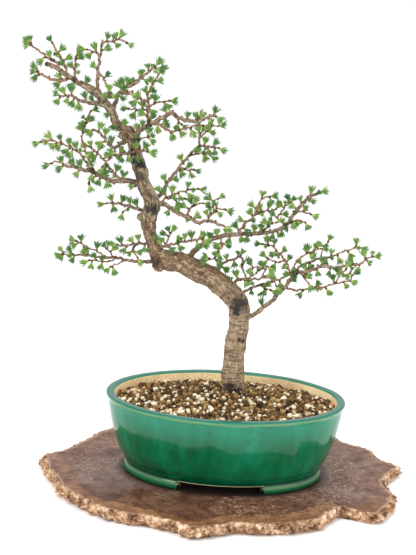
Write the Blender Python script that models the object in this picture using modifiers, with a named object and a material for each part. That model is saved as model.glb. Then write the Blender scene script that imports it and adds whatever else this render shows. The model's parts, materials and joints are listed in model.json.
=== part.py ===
# Larch bonsai in an oval glazed pot on a burl-wood display slab.
# Lengths are in millimetres and become metres as each mesh is made. +Z is up, +Y is away from the
# viewer, and the origin is on the slab's underside below the pot's centre.

import math
import random

import bmesh
import bpy
import numpy as np

MM = 0.001
GAP = 0.3

# Slab and pot
SLAB_THICKNESS = 12.0
SLAB_LEVELS = ((0.0, 0.965), (3.0, 1.0), (6.5, 0.998), (10.0, 0.994), (SLAB_THICKNESS, 0.985))
SLAB_WOBBLE = 0.006
SLAB_FRONT_HEIGHT = 2.0
POT_WIDTH = 180.0
POT_LENGTH = 254.0
POT_HEIGHT = 84.3
POT_SIDES = 40
FOOT_HEIGHT = 8.8
FOOT_GAP = 88.0
FLOOR_TOP = 15.5
UNDERSIDE = 9.4
DRAIN_HOLE = 18.0
DRAIN_SPACING = 84.0
SCREEN_SIDE = 30.0
SCREEN_THICKNESS = 1.0

# Half-width and height of the pot's turned profile, foot to rim to floor. The oval is this profile
# turned round, then drawn out lengthways by the difference between its length and its width.
POT_OUTSIDE = [
    (60.0, 0.0), (68.6, 0.0), (69.4, 2.2), (68.8, 5.6), (67.2, 8.2), (66.6, 9.3), (67.8, 11.8),
    (73.0, 20.0), (79.6, 37.5), (84.2, 56.0), (87.8, 76.5), (88.8, 80.2), (89.7, 82.0), (90.0, 83.2),
    (89.2, 84.3), (81.6, 84.3),
]
POT_INSIDE = [(80.5, 82.0), (77.0, 56.0), (71.0, 31.0), (62.0, FLOOR_TOP)]

# Soil
SOIL_EDGE_FRONT = 81.0
SOIL_EDGE_BACK = 74.0
SOIL_AT_TRUNK = 91.0
GRAIN_RELIEF = 1.6
SOIL_SIDES = 40
SOIL_RINGS = 8
SOIL_CLEAR = 0.9
SOIL_LEVELS = (31.0, 56.0)
HEAP_POWER = 1.15
TRUNK_HOLE_DEPTH = 24.0
TRUNK_HOLE_CLEAR = 1.6
SCREEN_POCKET_CLEAR = 3.0
SCREEN_POCKET_DEPTH = 4.0

# Needles: a bud is a short swelling of the twig, and each of its faces is drawn out to a needle.
BUD_RADIUS = 1.15
BUD_STEP = 1.1
NEEDLE_LENGTH = 10.5
NEEDLE_SPREAD = 0.7
AWAY_LIMIT = -0.3
ROOT_CLEAR = 5.0
BUD_APART = 6.0
BUD_FORM = ((-1, 1.0), (0, 1.15), (1, 0.9))
STEM_CLEAR = 2.0
SMALLEST_FACE = 0.3
CLEARANCE = 0.75
LEAN_SHARE = 0.55
FIRST_BUD = 3.0

# Limbs: a collar of the trunk's wood covers each limb's first stretch, flared into the trunk.
LIMB_STEP = 13.0
TWIG_STEP = 16.0
COLLAR_CLEAR = 2.4
COLLAR_FLARE = 1.5
COLLAR_SHOULDER = 1.2
ROOT_STEPS = (GAP, 1.5, 4.0)
THICK_LIMB = 2.4
EVEN_SWING = 0.35
SWING_POWER = 1.6
TRUNK_FOOT_DEPTH = 12.0
TRUNK_FOOT_RADIUS = 8.0

# The front view that the tree and the slab are set out in. A place in it is a pair of pixels of the
# 416 x 555 photograph, across and down, and the view says where each pair lies in space.
VIEW_CENTRE = (208.0, 277.5)
PIXELS = 967.8
VIEW_DISTANCE = 1005.0
VIEW_TILT = math.radians(11.17)
VIEW_ROLL = math.radians(2.7)
VIEW_TURN = math.radians(1.9)
VIEW_TARGET = (-24.5, 0.0, 210.1 + SLAB_THICKNESS)

# Trunk: pixels across and down, depth in mm behind the pot's centre, and radius in mm.
TRUNK_LOWER = [
    (233, 396, 0, 12.6), (233, 388, 0, 11.6), (233, 379, 0, 11.9), (233.4, 365, 1, 11.2),
    (234.5, 350, 2, 10.9), (236.4, 338, 3, 10.8), (238.6, 326, 4, 10.6), (239.6, 312, 5, 10.7),
    (237, 302, 4, 11.2), (229.4, 292.5, 3, 11.3), (214, 279, 0, 11.2), (197, 270.5, -2, 11),
    (182, 263.5, -3, 10.6), (168, 260, -4, 11), (158, 259.5, -4, 10.6), (154.5, 259, -4, 8.4),
]
TRUNK_UPPER = [
    (160, 259, -4, 8.6), (155, 249, -4, 7), (151.6, 239, -3, 6.1), (149.6, 230, -2, 7),
    (147.8, 220, -1, 8.2), (151, 211, 0, 8.2), (151.5, 200, 1, 7.8), (147, 190, 2, 7.2),
    (142.5, 180, 3, 6.8), (140.5, 171, 4, 7), (137.6, 160, 4, 7), (134.5, 147, 3, 5.8),
    (131.5, 137, 1, 5.6), (126, 130.5, 0, 5.2), (117, 124, -1, 4.4), (113, 114, -3, 3.9),
    (108, 106.5, -4, 4.1), (100, 96, -6, 3.7), (93, 90.5, -7, 3.4), (87.5, 87, -8, 3.2),
]
# Burrs and callus swellings on the trunk: place and depth, then radius.
BURRS = [
    (159, 265.5, -5, 6.6), (141.5, 217, -2, 4.6), (124, 135, -1, 4.6), (130, 130.5, 0, 4.8),
    (137, 141, -2, 3.2), (233, 296, -8, 4), (156, 208, 1, 4.6), (190, 258, 6, 5),
]

# Sprays: each has its limb, which starts in the trunk, its twigs, which start on the limb or on an
# earlier twig, and its tufts of needles, each from its foot to its tip. A limb or twig gives its
# radius at both ends, how far its tip swings away from the viewer (less than 0 is nearer), then its
# places in the front view.
SPRAYS = {
    "spray_tip": {
        "limb": (3.2, 2.2, -12, [(93, 90.5), (87, 86.8), (80, 83), (72, 78.5), (65, 73.8), (58, 69),
                                 (51, 65.4), (46, 63)]),
        "twigs": [
            (1.7, 1.0, -16, [(59, 69.5), (57, 63.5), (52, 59.5), (45, 55), (38, 50), (31, 44)]),
            (1.6, 1.0, 14, [(66, 74.5), (66, 68), (62, 60), (57, 51), (53, 44)]),
            (1.6, 0.9, 22, [(76, 80.5), (74.5, 72), (75.5, 62), (76, 54)]),
            (2.3, 1.3, 10, [(70, 77.5), (64, 80), (55, 79.5), (46, 77), (38, 73)]),
        ],
        "tufts": [
            (31, 44, 28, 32), (31, 44, 21, 38), (31, 45, 20, 46), (52, 59, 47, 49), (53, 44, 48, 37),
            (61, 58, 57, 54), (66, 68, 60, 62), (64, 61, 70, 57), (73, 70, 66, 60), (77, 58, 80, 51),
            (76, 59, 88, 55), (38, 73, 32, 62), (37, 73, 25, 71), (38, 74, 29, 84), (63, 79, 58, 74),
            (62, 80, 55, 87), (76, 81, 70, 86), (84, 85, 90, 76), (45, 56, 40, 62), (58, 52, 64, 46),
        ],
    },
    "spray_crown": {
        "limb": (2.2, 1.1, 26, [(101, 98), (98, 88), (97.5, 76), (98.5, 66), (100, 56), (101.5, 48),
                                (102.5, 40)]),
        "twigs": [
            (1.3, 0.9, 10, [(100, 57), (96, 53), (88, 49.5)]),
            (1.3, 0.9, -12, [(102, 47), (104.5, 42), (112, 41), (119, 40), (126, 42.5)]),
            (1.3, 1.0, -26, [(98, 73), (103, 78), (107, 86), (109.5, 95)]),
        ],
        "tufts": [
            (97, 53, 94, 43), (93, 52, 87, 57), (88, 49.5, 79, 49), (102, 51, 108, 48),
            (106, 41.5, 109, 33), (113, 41, 119, 47), (119, 40, 123, 33), (126, 42.5, 131, 45),
            (108, 94, 109, 83), (109, 95, 118, 97), (103, 78, 109, 73), (98, 70, 92, 64),
        ],
    },
    "spray_high_left": {
        "limb": (2.5, 1.2, -34, [(106, 104), (101, 104), (92, 103), (84, 102), (77, 99), (72, 96)]),
        "twigs": [(1.2, 0.9, -10, [(73, 96.5), (67, 95.5), (61, 97)])],
        "tufts": [
            (96, 103, 90, 96), (78, 100, 79, 109), (74, 98, 71, 107), (72, 96, 71, 86),
            (66, 95.5, 62, 88), (61, 97, 55, 93), (61, 97, 56, 103), (68, 96, 66, 104),
            (86, 102, 84, 94),
        ],
    },
    "spray_high_right": {
        "limb": (2.2, 1.2, -30, [(113, 112), (116, 101), (119, 93.5), (125, 88), (133, 84), (141, 78.5),
                                 (149, 71.5), (155, 67)]),
        "twigs": [(1.2, 0.9, -16, [(120, 92), (127, 92), (132, 91)])],
        "tufts": [
            (127, 87, 129, 74), (130, 85, 136, 77), (141, 78.5, 142, 66), (142, 78, 150, 83),
            (155, 67, 160, 61), (154, 68, 166, 71), (122, 90, 117, 83), (132, 91, 135, 96),
            (119, 95, 126, 100), (125, 88, 121, 80), (117, 99, 110, 95), (149, 72, 147, 64),
        ],
    },
    "spray_knee": {
        "limb": (3.0, 1.4, -44, [(132, 138), (139, 131), (148, 126), (156, 121.5), (165, 116.5),
                                 (171, 112), (177, 117), (187, 120), (198, 121), (207, 117.5),
                                 (215, 115.5)]),
        "twigs": [
            (1.9, 1.1, 30, [(149, 125.5), (148, 115), (148.3, 104), (147.7, 96), (151, 87),
                            (155, 80), (160, 73)]),
            (1.2, 0.9, -12, [(148, 103), (141, 99), (133, 95.5), (125, 93)]),
            (1.2, 0.9, 14, [(148.5, 107), (155, 103.6), (163, 101.5), (169, 101)]),
            (1.2, 0.9, 16, [(148, 110), (140, 109.5), (130, 109)]),
            (1.3, 0.9, 6, [(176, 116.5), (179, 122), (181, 124)]),
            (1.7, 1.0, -18, [(155, 122), (163, 127.5), (170, 131), (180, 129.5), (191, 126.5),
                             (202, 126)]),
            (1.1, 0.9, -8, [(136, 133), (141, 138), (148, 137)]),
        ],
        "tufts": [
            (147, 95, 143, 86), (148, 93, 155, 89), (152, 84, 150, 74), (154, 81, 163, 80),
            (160, 73, 165, 66), (141, 99, 136, 91), (138, 98, 133, 104), (128, 94, 120, 92),
            (154, 104, 156, 96), (163, 101.5, 169, 108), (169, 101, 177, 101), (143, 110, 142, 103),
            (136, 109.5, 133, 116), (130, 109, 123, 108), (148, 116, 141, 113), (150, 121, 156, 112),
            (196, 121, 195, 110), (199, 121, 203, 113), (214, 116, 216, 109), (215, 115.5, 222, 121),
            (208, 118, 211, 125), (179, 122, 176, 129), (181, 124, 187, 128), (160, 125, 167, 121),
            (157, 123, 158, 132), (170, 131, 173, 140), (178, 130, 184, 136), (190, 127, 193, 134),
            (202, 126, 208, 127), (137, 133, 136, 122), (142, 129, 143, 120), (148, 137, 149, 129),
            (148, 137, 154, 143), (168, 114, 163, 107), (187, 120, 188, 112), (148.5, 108, 154, 113),
        ],
    },
    "spray_front": {
        "limb": (1.7, 1.0, -28, [(138, 157), (131, 153.5), (124, 154), (117, 155)]),
        "twigs": [(1.3, 0.9, -10, [(128, 153.5), (136, 151), (147, 151.5)])],
        "tufts": [
            (147, 151.5, 154, 153), (142, 151, 147, 144), (137, 152, 136, 145), (121, 154, 122, 163),
            (127, 154, 130, 163), (117, 155, 110, 152), (134, 154, 140, 161),
        ],
    },
    "spray_left": {
        "limb": (3.0, 1.6, -36, [(146, 188), (134, 181.5), (122, 180.5), (112, 180.5), (103, 177.5),
                                 (96, 173.5), (89, 171), (80, 169), (70, 166), (63, 165.5)]),
        "twigs": [
            (1.5, 0.9, -14, [(91, 171.5), (85, 160), (79, 152.5), (70, 147), (60, 143), (51, 140),
                             (42, 141)]),
            (1.6, 1.0, 24, [(94, 172.5), (90, 162), (85, 151), (82, 141), (83, 131)]),
            (1.3, 0.9, 12, [(83.5, 134), (86, 122), (90, 111)]),
            (1.6, 1.0, 44, [(122, 180.5), (113, 172), (105, 161), (97, 152.5), (90, 147)]),
            (1.1, 0.9, -8, [(99, 176), (91, 179), (89, 183)]),
            (1.1, 0.8, -4, [(65, 165.5), (59, 162), (52, 163)]),
        ],
        "tufts": [
            (82, 169, 79, 160), (76, 167.5, 71, 161), (80, 169.5, 74, 177), (64, 165.5, 57, 170),
            (63, 165, 60, 156), (52, 163, 44, 166), (42, 141, 34, 144), (53, 140.5, 46, 133),
            (58, 142, 48, 149), (62, 144, 51, 152), (62, 143, 58, 132), (70, 147, 67, 135),
            (70, 147, 63, 154), (73, 149, 68, 160), (77, 151, 75, 142), (82, 157, 90, 156),
            (83, 132, 75, 121), (83, 131, 82, 120), (86, 123, 92, 117), (84, 131, 92, 134),
            (90, 111, 100, 107), (92, 148, 89, 136), (90, 147, 81, 144), (97, 152, 101, 145),
            (95, 151, 88, 155), (97, 154, 91, 161), (104, 159, 110, 153), (108, 165, 103, 170),
            (99, 176, 108, 173), (101, 177, 97, 186), (106, 179, 108, 186), (89, 183, 92, 192),
            (92, 172, 91, 181), (115, 174, 118, 165), (86, 161, 92, 163), (122, 180.5, 124, 173),
        ],
    },
    "spray_upper_left": {
        "limb": (2.0, 1.1, -42, [(131, 139), (121, 143.5), (114, 147.5), (106, 141), (100, 133),
                                 (94, 129.5)]),
        "twigs": [(1.3, 0.9, -8, [(115, 147), (114, 153), (110, 159), (103, 165)])],
        "tufts": [
            (112, 146, 111, 135), (104, 139, 106, 131), (105, 141, 98, 144), (99, 132, 101, 123),
            (94, 129.5, 87, 132), (113, 156, 120, 158), (119, 144.5, 122, 152), (103, 165, 100, 172),
            (110, 159, 105, 153), (124, 142, 120, 134),
        ],
    },
    "spray_small_left": {
        "limb": (2.0, 1.0, 24, [(149, 213), (138, 209), (128, 205.5), (117, 203.5), (107, 203)]),
        "twigs": [(1.1, 0.8, -10, [(131, 206.5), (127, 209.5), (123, 211)])],
        "tufts": [
            (131, 206, 129, 197), (123, 211, 121, 218), (113, 203, 110, 194), (113, 203.5, 114, 211),
            (107, 203, 98, 205), (138, 209, 136, 202), (121, 204, 124, 197),
        ],
    },
    "spray_leader_right": {
        "limb": (2.0, 1.2, 36, [(152, 199), (160, 194.5), (166, 185), (173, 175), (181, 165),
                                (190, 155), (197, 147.5), (199.5, 141), (199.5, 133)]),
        "twigs": [
            (1.2, 0.9, 12, [(177, 169), (184, 170), (193, 169.5)]),
            (1.2, 0.9, 14, [(190, 155.5), (196, 154), (205, 153), (210, 155)]),
            (1.4, 0.9, -14, [(197.5, 147.5), (205, 146), (213, 147), (218, 148)]),
            (1.2, 0.9, 18, [(200, 138), (206, 132), (211, 127), (217, 125.5)]),
        ],
        "tufts": [
            (167, 183, 160, 170), (170, 180, 181, 178), (182, 163, 178, 149), (179, 169, 183, 175),
            (184, 170, 191, 164), (190, 170, 192, 178), (193, 169.5, 201, 172), (194, 154, 199, 149),
            (203, 153, 206, 160), (210, 155, 216, 160), (204, 146, 206, 138), (208, 146.5, 209, 154),
            (212, 147, 218, 140), (218, 148, 225, 151), (214, 147.5, 215, 157), (199.5, 134, 197, 125),
            (199.5, 134, 205, 127), (207, 131, 215, 133), (211, 127, 211, 119), (217, 125.5, 224, 125),
            (161, 193, 156, 185),
        ],
    },
    "spray_mid_right": {
        "limb": (2.7, 1.4, -30, [(151, 204), (162, 203.5), (169, 207), (177, 212.5), (188, 217),
                                 (198, 222), (209, 221), (223, 225)]),
        "twigs": [
            (1.3, 0.9, 30, [(163, 204), (165, 198), (174, 199), (184, 198.5)]),
            (1.3, 0.9, 20, [(165.5, 198), (175, 194.5), (184, 191), (197, 189)]),
            (1.4, 0.9, 10, [(187, 216.5), (189, 209), (196, 204), (202, 203)]),
            (1.3, 0.9, -8, [(207, 221.5), (211, 215.5), (217, 209), (224, 209.5)]),
            (1.1, 0.8, 8, [(210, 218), (211, 208), (214, 201), (218, 199)]),
        ],
        "tufts": [
            (187, 190.5, 188, 181), (197, 189, 205, 190), (185, 191, 191, 197), (172, 195.5, 172, 187),
            (166, 198, 163, 190), (175, 199, 179, 206), (184, 198.5, 191, 200), (170, 207, 167, 214),
            (194, 205, 197, 196), (189, 209, 181, 204), (202, 203, 208, 204), (209, 219, 205, 209),
            (212, 206, 216, 213), (192, 219, 200, 214), (184, 215, 190, 222), (215, 211, 222, 216),
            (217, 209, 215, 202), (224, 209.5, 230, 211), (213, 202, 207, 196), (218, 199, 226, 194),
            (181, 214, 176, 206), (223, 225, 229, 229), (178, 193.5, 182, 201),
        ],
    },
    "spray_back_right": {
        "limb": (2.9, 1.8, 46, [(186, 262), (191, 254.5), (200, 246), (210, 240), (221, 236), (234, 234.5),
                                (249, 234), (262, 233), (274, 231), (285, 226), (292, 216.5),
                                (301, 205), (309.5, 197), (318, 193)]),
        "twigs": [
            (1.9, 1.0, 26, [(238, 234), (244, 224), (253, 216.5), (257, 208), (263, 198),
                            (269, 196.5)]),
            (1.3, 0.9, 20, [(286, 225), (278, 218), (283, 209), (290, 203)]),
            (1.2, 0.9, -20, [(287, 223.5), (296, 220), (305, 222)]),
            (1.2, 0.9, 18, [(254, 215), (262, 212), (275, 209.5)]),
            (1.2, 0.9, -22, [(262, 233), (268, 226), (276, 222)]),
            (1.2, 0.9, -24, [(220, 236.5), (222, 245), (219, 251)]),
            (1.1, 0.9, -22, [(296, 211.5), (303, 212), (310, 214)]),
        ],
        "tufts": [
            (310, 196.5, 312, 186), (309, 198, 316, 203), (318, 193, 326, 191), (302, 204, 299, 195),
            (310, 214, 317, 217), (304, 212, 306, 204), (305, 222, 309, 229), (297, 220, 293, 228),
            (290, 203, 287, 195), (290, 203, 296, 197), (284, 208, 278, 202), (278, 218, 271, 213),
            (280, 214, 287, 214), (269, 196.5, 277, 195), (262, 199, 263, 190), (256, 209, 250, 203),
            (253, 216, 249, 209), (262, 212, 259, 205), (268, 211, 270, 203), (275, 209.5, 279, 205),
            (246, 222, 239, 219), (240, 231, 233, 222), (243, 227, 247, 231), (204, 243.5, 201, 231),
            (208, 241, 211, 229), (216, 238, 217, 226), (226, 235.5, 226, 225), (231, 234.5, 228, 243),
            (240, 234, 242, 241), (247, 234, 247, 244), (253, 234, 255, 225), (222, 244, 230, 246),
            (219, 251, 219, 259), (222, 243, 214, 246), (200, 246, 207, 246), (266, 232, 268, 240),
            (274, 231, 272, 241), (281, 228.5, 283, 238), (276, 222, 283, 220), (268, 226, 262, 219),
            (288, 222, 285, 231), (298, 209, 292, 206),
        ],
    },
    "spray_front_mid": {
        "limb": (1.7, 1.0, -34, [(155, 249), (162, 247), (172, 244.5), (182, 242), (192, 240.5),
                                 (202, 239)]),
        "twigs": [(1.2, 0.9, 12, [(165, 246), (168, 240), (170, 234)])],
        "tufts": [
            (175, 243.5, 181, 237), (177, 243, 183, 251), (192, 240.5, 191, 231), (198, 240, 204, 233),
            (202, 239, 209, 242), (185, 241.5, 185, 232), (170, 234, 166, 225), (170, 234, 175, 227),
            (169, 237, 161, 231), (163, 247, 158, 240), (167, 245.5, 173, 250), (196, 240, 198, 248),
        ],
    },
    "spray_front_left": {
        "limb": (1.6, 1.0, -30, [(152, 243), (145, 244), (138, 243.5), (128, 245.5), (118, 245.5)]),
        "twigs": [(1.2, 0.9, -12, [(136, 244), (133, 250), (137, 257)])],
        "tufts": [
            (134, 244, 129, 237), (139, 243.5, 138, 235), (118, 245.5, 110, 243), (128, 245.5, 122, 252),
            (133, 250, 126, 256), (137, 257, 140, 264), (134, 252, 142, 253), (145, 244, 144, 252),
            (122, 245.8, 120, 238),
        ],
    },
    "spray_low_left": {
        "limb": (1.9, 1.0, 30, [(158, 259.5), (148, 261.5), (138, 261.5), (127, 260), (116, 257.5),
                                (108, 258), (100, 257.5), (88, 255.5), (75, 254.5), (63, 254)]),
        "twigs": [
            (1.2, 0.9, -16, [(117, 257.7), (109, 261), (99, 261), (90, 260)]),
            (1.2, 0.9, 12, [(108, 257.7), (99, 252), (88, 247.5), (76, 241)]),
            (1.1, 0.8, -12, [(126, 259.8), (118, 263), (111, 266)]),
            (1.1, 0.8, -14, [(113, 257.5), (110, 252), (107, 249)]),
        ],
        "tufts": [
            (92, 260.5, 91, 269), (90, 260, 82, 263), (96, 261, 93, 254), (64, 254, 59, 247),
            (63, 254, 52, 256), (64, 254, 58, 262), (74, 254.5, 67, 248), (75, 254.5, 71, 262),
            (77, 241.5, 69, 240), (76, 241, 65, 236), (81, 244, 81, 235), (84, 246, 84, 254),
            (79, 242.5, 71, 247), (102, 261, 101, 269), (111, 266, 106, 271), (112, 265.5, 115, 273),
            (107, 249, 102, 243), (107, 249, 109, 241), (110, 252, 116, 247), (88, 255.5, 87, 248),
            (97, 251, 97, 243),
        ],
    },
    "spray_low_loop": {
        "limb": (1.6, 1.0, 20, [(215, 280), (220, 268), (225, 261.5), (233, 259), (240, 257.5),
                                (243.5, 262), (242.5, 269), (245, 275)]),
        "twigs": [(1.1, 0.8, -16, [(222, 264.5), (217, 259.5), (210, 259)])],
        "tufts": [
            (243.5, 262, 250, 257), (240, 257.5, 244, 250), (226, 261, 226, 252), (214, 259, 218, 251),
            (210, 259, 202, 262), (210, 259, 203, 255), (216, 259.5, 220, 266), (245, 275, 248, 283),
            (221, 266, 227, 270), (233, 259, 235, 267),
        ],
    },
    "spray_low_tangle": {
        "limb": (1.7, 1.0, -26, [(225, 290), (233, 283), (242, 279), (250, 278.5), (257, 279.5),
                                 (264, 277)]),
        "twigs": [
            (1.2, 0.8, 14, [(261, 278), (265, 271), (267, 266)]),
            (1.1, 0.8, -8, [(265.5, 270), (259, 267.5), (253, 267)]),
            (1.1, 0.8, 12, [(248, 278.5), (252, 276), (256, 274)]),
            (1.1, 0.8, -6, [(263, 277.5), (272, 279), (276, 285)]),
        ],
        "tufts": [
            (253, 267, 249, 261), (253, 267, 250, 274), (263, 268.5, 259, 261), (267, 266, 272, 271),
            (256, 274, 260, 268), (265, 276.5, 271, 274), (244, 279, 247, 285), (237, 281, 236, 273),
            (230, 285.5, 229, 277), (276, 285, 279, 292), (252, 276, 248, 269),
        ],
    },
    "spray_low_middle": {
        "limb": (1.7, 1.0, 24, [(232, 298), (243, 293), (252, 287.5), (261, 284), (270, 282.5),
                                (279, 279.5), (288, 275.5)]),
        "twigs": [(1.1, 0.8, -14, [(259, 284.5), (264, 288), (270, 290)])],
        "tufts": [
            (262, 286.5, 269, 284), (270, 290, 276, 293), (288, 275.5, 294, 270), (279, 279.5, 281, 288),
            (272, 282, 272, 274), (252, 287.5, 251, 296), (265, 288.5, 261, 295),
        ],
    },
    "spray_low_right": {
        "limb": (2.7, 1.4, -30, [(240, 321), (250, 316.5), (261, 309.5), (270, 302), (278, 294.5),
                                 (285.5, 286), (291, 278), (297, 273), (310, 271), (322, 266),
                                 (334, 268), (345, 265.5), (355, 264.5)]),
        "twigs": [
            (1.5, 0.9, -16, [(285, 286.5), (296, 290), (310, 288.5), (323, 287), (334, 284),
                             (346, 281.5), (352, 277), (351, 271)]),
            (1.4, 0.9, 4, [(354, 264.6), (361, 264), (366, 259), (372, 257)]),
            (1.6, 0.9, 26, [(297, 273), (300, 266), (309, 262), (320, 258.5), (333, 256), (346, 251),
                            (358, 246.5)]),
            (1.6, 0.9, 34, [(292, 277), (287, 264), (280, 254), (272, 246), (263, 244)]),
            (1.2, 0.8, 10, [(285, 260.5), (276, 261.5), (268, 258.5)]),
            (1.3, 0.8, -18, [(293, 276), (295, 264), (303, 256), (313, 251), (321, 249)]),
            (1.1, 0.8, 14, [(321, 258.3), (323, 250), (328, 242)]),
            (1.1, 0.8, -12, [(336, 283.7), (339, 276.5), (345, 270)]),
            (1.1, 0.8, -10, [(299, 272.5), (304, 278), (308, 283)]),
        ],
        "tufts": [
            (303, 290, 297, 298), (314, 288, 321, 280), (325, 287, 331, 295), (334, 284, 332, 274),
            (340, 275.5, 336, 268), (345, 270, 349, 262), (343, 282, 348, 288), (349, 279.5, 356, 283),
            (352, 276, 359, 271), (351, 271, 346, 277), (359, 264.2, 358, 272), (366, 259, 363, 251),
            (372, 257, 378, 256), (365, 260, 371, 264), (353, 264.5, 350, 257), (342, 266, 341, 274),
            (348, 250.5, 351, 257), (356, 247, 357, 238), (358, 246.5, 364, 249), (331, 256.5, 332, 248),
            (337, 254.5, 340, 262), (263, 244, 256, 244), (268, 245, 267, 238), (274, 247.5, 275, 239),
            (280, 254, 286, 248), (277, 250.5, 271, 255), (276, 261.5, 273, 268), (268, 258.5, 262, 254),
            (269, 259, 264, 264), (287, 263, 291, 255), (307, 254, 308, 245), (309, 253, 314, 259),
            (321, 249, 327, 249), (313, 251, 317, 243), (328, 242, 332, 234), (325, 247, 317, 243),
            (302, 265, 297, 258), (309, 262, 311, 271), (303, 277, 311, 276), (308, 283, 312, 290),
            (317, 268.5, 318, 277), (322, 266, 323, 257), (330, 267.5, 329, 275), (306, 271.5, 303, 263),
            (292, 276, 284, 273), (289, 270, 283, 266), (262, 308.5, 262, 301), (327, 257.3, 325, 265),
            (315, 260.3, 313, 252), (290, 282, 296, 279),
        ],
    },
}

# Slab outline in the front view: the back and sides on its top, the front on its underside.
SLAB_BACK = [
    (400, 466), (381, 459), (369, 449), (345, 442), (330, 433), (300, 425), (262, 421), (222, 419),
    (182, 420), (145, 422), (110, 427), (88, 437), (68, 447), (48, 453),
]
SLAB_FRONT = [
    (42, 464), (43, 472), (51, 483), (59, 495), (74, 505), (86, 511), (103, 518), (127, 524),
    (151, 527), (175, 533), (200, 538), (238, 533), (260, 535), (284, 534), (314, 531), (324, 527),
    (338, 517), (364, 521), (379, 523), (391, 514), (392, 502), (385, 490), (393, 479),
]


def view_frame():
    """Camera place and its back, right and up directions."""
    turn = np.array([
        [math.cos(VIEW_TURN), -math.sin(VIEW_TURN), 0],
        [math.sin(VIEW_TURN), math.cos(VIEW_TURN), 0],
        [0, 0, 1],
    ])
    back = np.array([0, -math.cos(VIEW_TILT), math.sin(VIEW_TILT)])
    level = np.array([1.0, 0, 0])
    rise = np.array([0, math.sin(VIEW_TILT), math.cos(VIEW_TILT)])
    right = math.cos(VIEW_ROLL) * level + math.sin(VIEW_ROLL) * rise
    up = math.cos(VIEW_ROLL) * rise - math.sin(VIEW_ROLL) * level
    eye = np.array(VIEW_TARGET) + back * VIEW_DISTANCE
    return turn @ eye, turn @ back, turn @ right, turn @ up


def ray(across, down):
    """Eye and sight line of one place in the front view."""
    eye, back, right, up = view_frame()
    line = right * (across - VIEW_CENTRE[0]) + up * (VIEW_CENTRE[1] - down) - back * PIXELS
    return eye, line


def at_depth(across, down, depth):
    """The point seen there that lies this far behind the pot's centre."""
    eye, line = ray(across, down)
    return eye + line * (depth - eye[1]) / line[1]


def at_height(across, down, height):
    """The point seen there that lies at this height."""
    eye, line = ray(across, down)
    return eye + line * (height - eye[2]) / line[2]


def rounded(points, step):
    """A smooth path through the points (Catmull-Rom), with a point about every step mm."""
    points = np.asarray(points, float)
    ends = np.vstack([2 * points[0] - points[1], points, 2 * points[-1] - points[-2]])
    path = []
    for i in range(len(points) - 1):
        a, b, c, d = ends[i : i + 4]
        length = np.linalg.norm((c - b)[:3])
        count = max(1, round(length / step))
        for k in range(count):
            t = k / count
            path.append(
                b + 0.5 * t * (c - a + t * (2 * a - 5 * b + 4 * c - d + t * (3 * (b - c) + d - a)))
            )
    return np.array(path + [points[-1]])


def material(name, colour, roughness, metallic=0.0, coat=0.0):
    made = bpy.data.materials.new(name)
    made.use_nodes = True
    shader = made.node_tree.nodes["Principled BSDF"]
    shader.inputs["Base Color"].default_value = (*colour, 1)
    shader.inputs["Roughness"].default_value = roughness
    shader.inputs["Metallic"].default_value = metallic
    shader.inputs["Coat Weight"].default_value = coat
    return made


def new_collection(name):
    made = bpy.data.collections.new(name)
    bpy.context.scene.collection.children.link(made)
    return made


def link_mesh(mesh, name, collection, finish=None):
    made = bpy.data.objects.new(name, mesh)
    collection.objects.link(made)
    if finish:
        mesh.materials.append(finish)
    return made


def mesh_object(bm, name, collection, finish=None):
    mesh = bpy.data.meshes.new(name)
    if bm.calc_volume(signed=True) < 0:
        bmesh.ops.reverse_faces(bm, faces=bm.faces)
    bm.normal_update()
    bm.to_mesh(mesh)
    bm.free()
    return link_mesh(mesh, name, collection, finish)


def tube(path, radii, sides, collection):
    """A closed tube along the path. Its curve's bevel gives 4 sides, and 2 more for each step."""
    curve = bpy.data.curves.new("tube", "CURVE")
    curve.dimensions = "3D"
    curve.bevel_depth = MM
    curve.bevel_resolution = (sides - 4) // 2
    curve.use_fill_caps = True
    spline = curve.splines.new("POLY")
    spline.points.add(len(path) - 1)
    for point, place, radius in zip(spline.points, path, radii):
        point.co = (*(place * MM), 1)
        point.radius = radius
    guide = bpy.data.objects.new("tube", curve)
    collection.objects.link(guide)
    graph = bpy.context.evaluated_depsgraph_get()
    mesh = bpy.data.meshes.new_from_object(guide.evaluated_get(graph))
    bm = bmesh.new()
    bm.from_mesh(mesh)
    bmesh.ops.remove_doubles(bm, verts=bm.verts, dist=1e-6)
    bmesh.ops.recalc_face_normals(bm, faces=bm.faces)
    bm.to_mesh(mesh)
    bm.free()
    made = link_mesh(mesh, "tube", collection)
    made.matrix_world = guide.matrix_world
    bpy.data.objects.remove(guide)
    return made


def ball(place, radius, collection):
    bm = bmesh.new()
    bmesh.ops.create_icosphere(bm, subdivisions=1, radius=radius * MM)
    bmesh.ops.translate(bm, verts=bm.verts, vec=place * MM)
    return mesh_object(bm, "ball", collection)


def with_buds(path, radii, buds):
    """The path with three close points at each bud, where the stem swells and its needles start."""
    steps = np.linalg.norm(np.diff(path, axis=0), axis=1)
    along = np.concatenate([[0], np.cumsum(steps)])
    places = [(s, None) for s in along]
    for centre, _ in buds:
        places = [place for place in places if place[1] or abs(place[0] - centre) > STEM_CLEAR]
        places += [(centre + side * BUD_STEP, share) for side, share in BUD_FORM]
    if not buds or buds[-1][0] < along[-1] - 2 * BUD_STEP:
        places.append((along[-1], None))
    places.append((0.0, None))
    spots = sorted(set(places), key=lambda place: place[0])
    kept = [spots[0]]
    for spot in spots[1:]:
        if spot[0] - kept[-1][0] > 0.3:
            kept.append(spot)
    s = np.array([spot[0] for spot in kept])
    new_path = np.stack([np.interp(s, along, path[:, k]) for k in range(3)], axis=1)
    new_radii = np.interp(s, along, radii)
    for i, spot in enumerate(kept):
        if spot[1]:
            new_radii[i] = max(new_radii[i], BUD_RADIUS * spot[1])
    return new_path, new_radii


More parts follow.
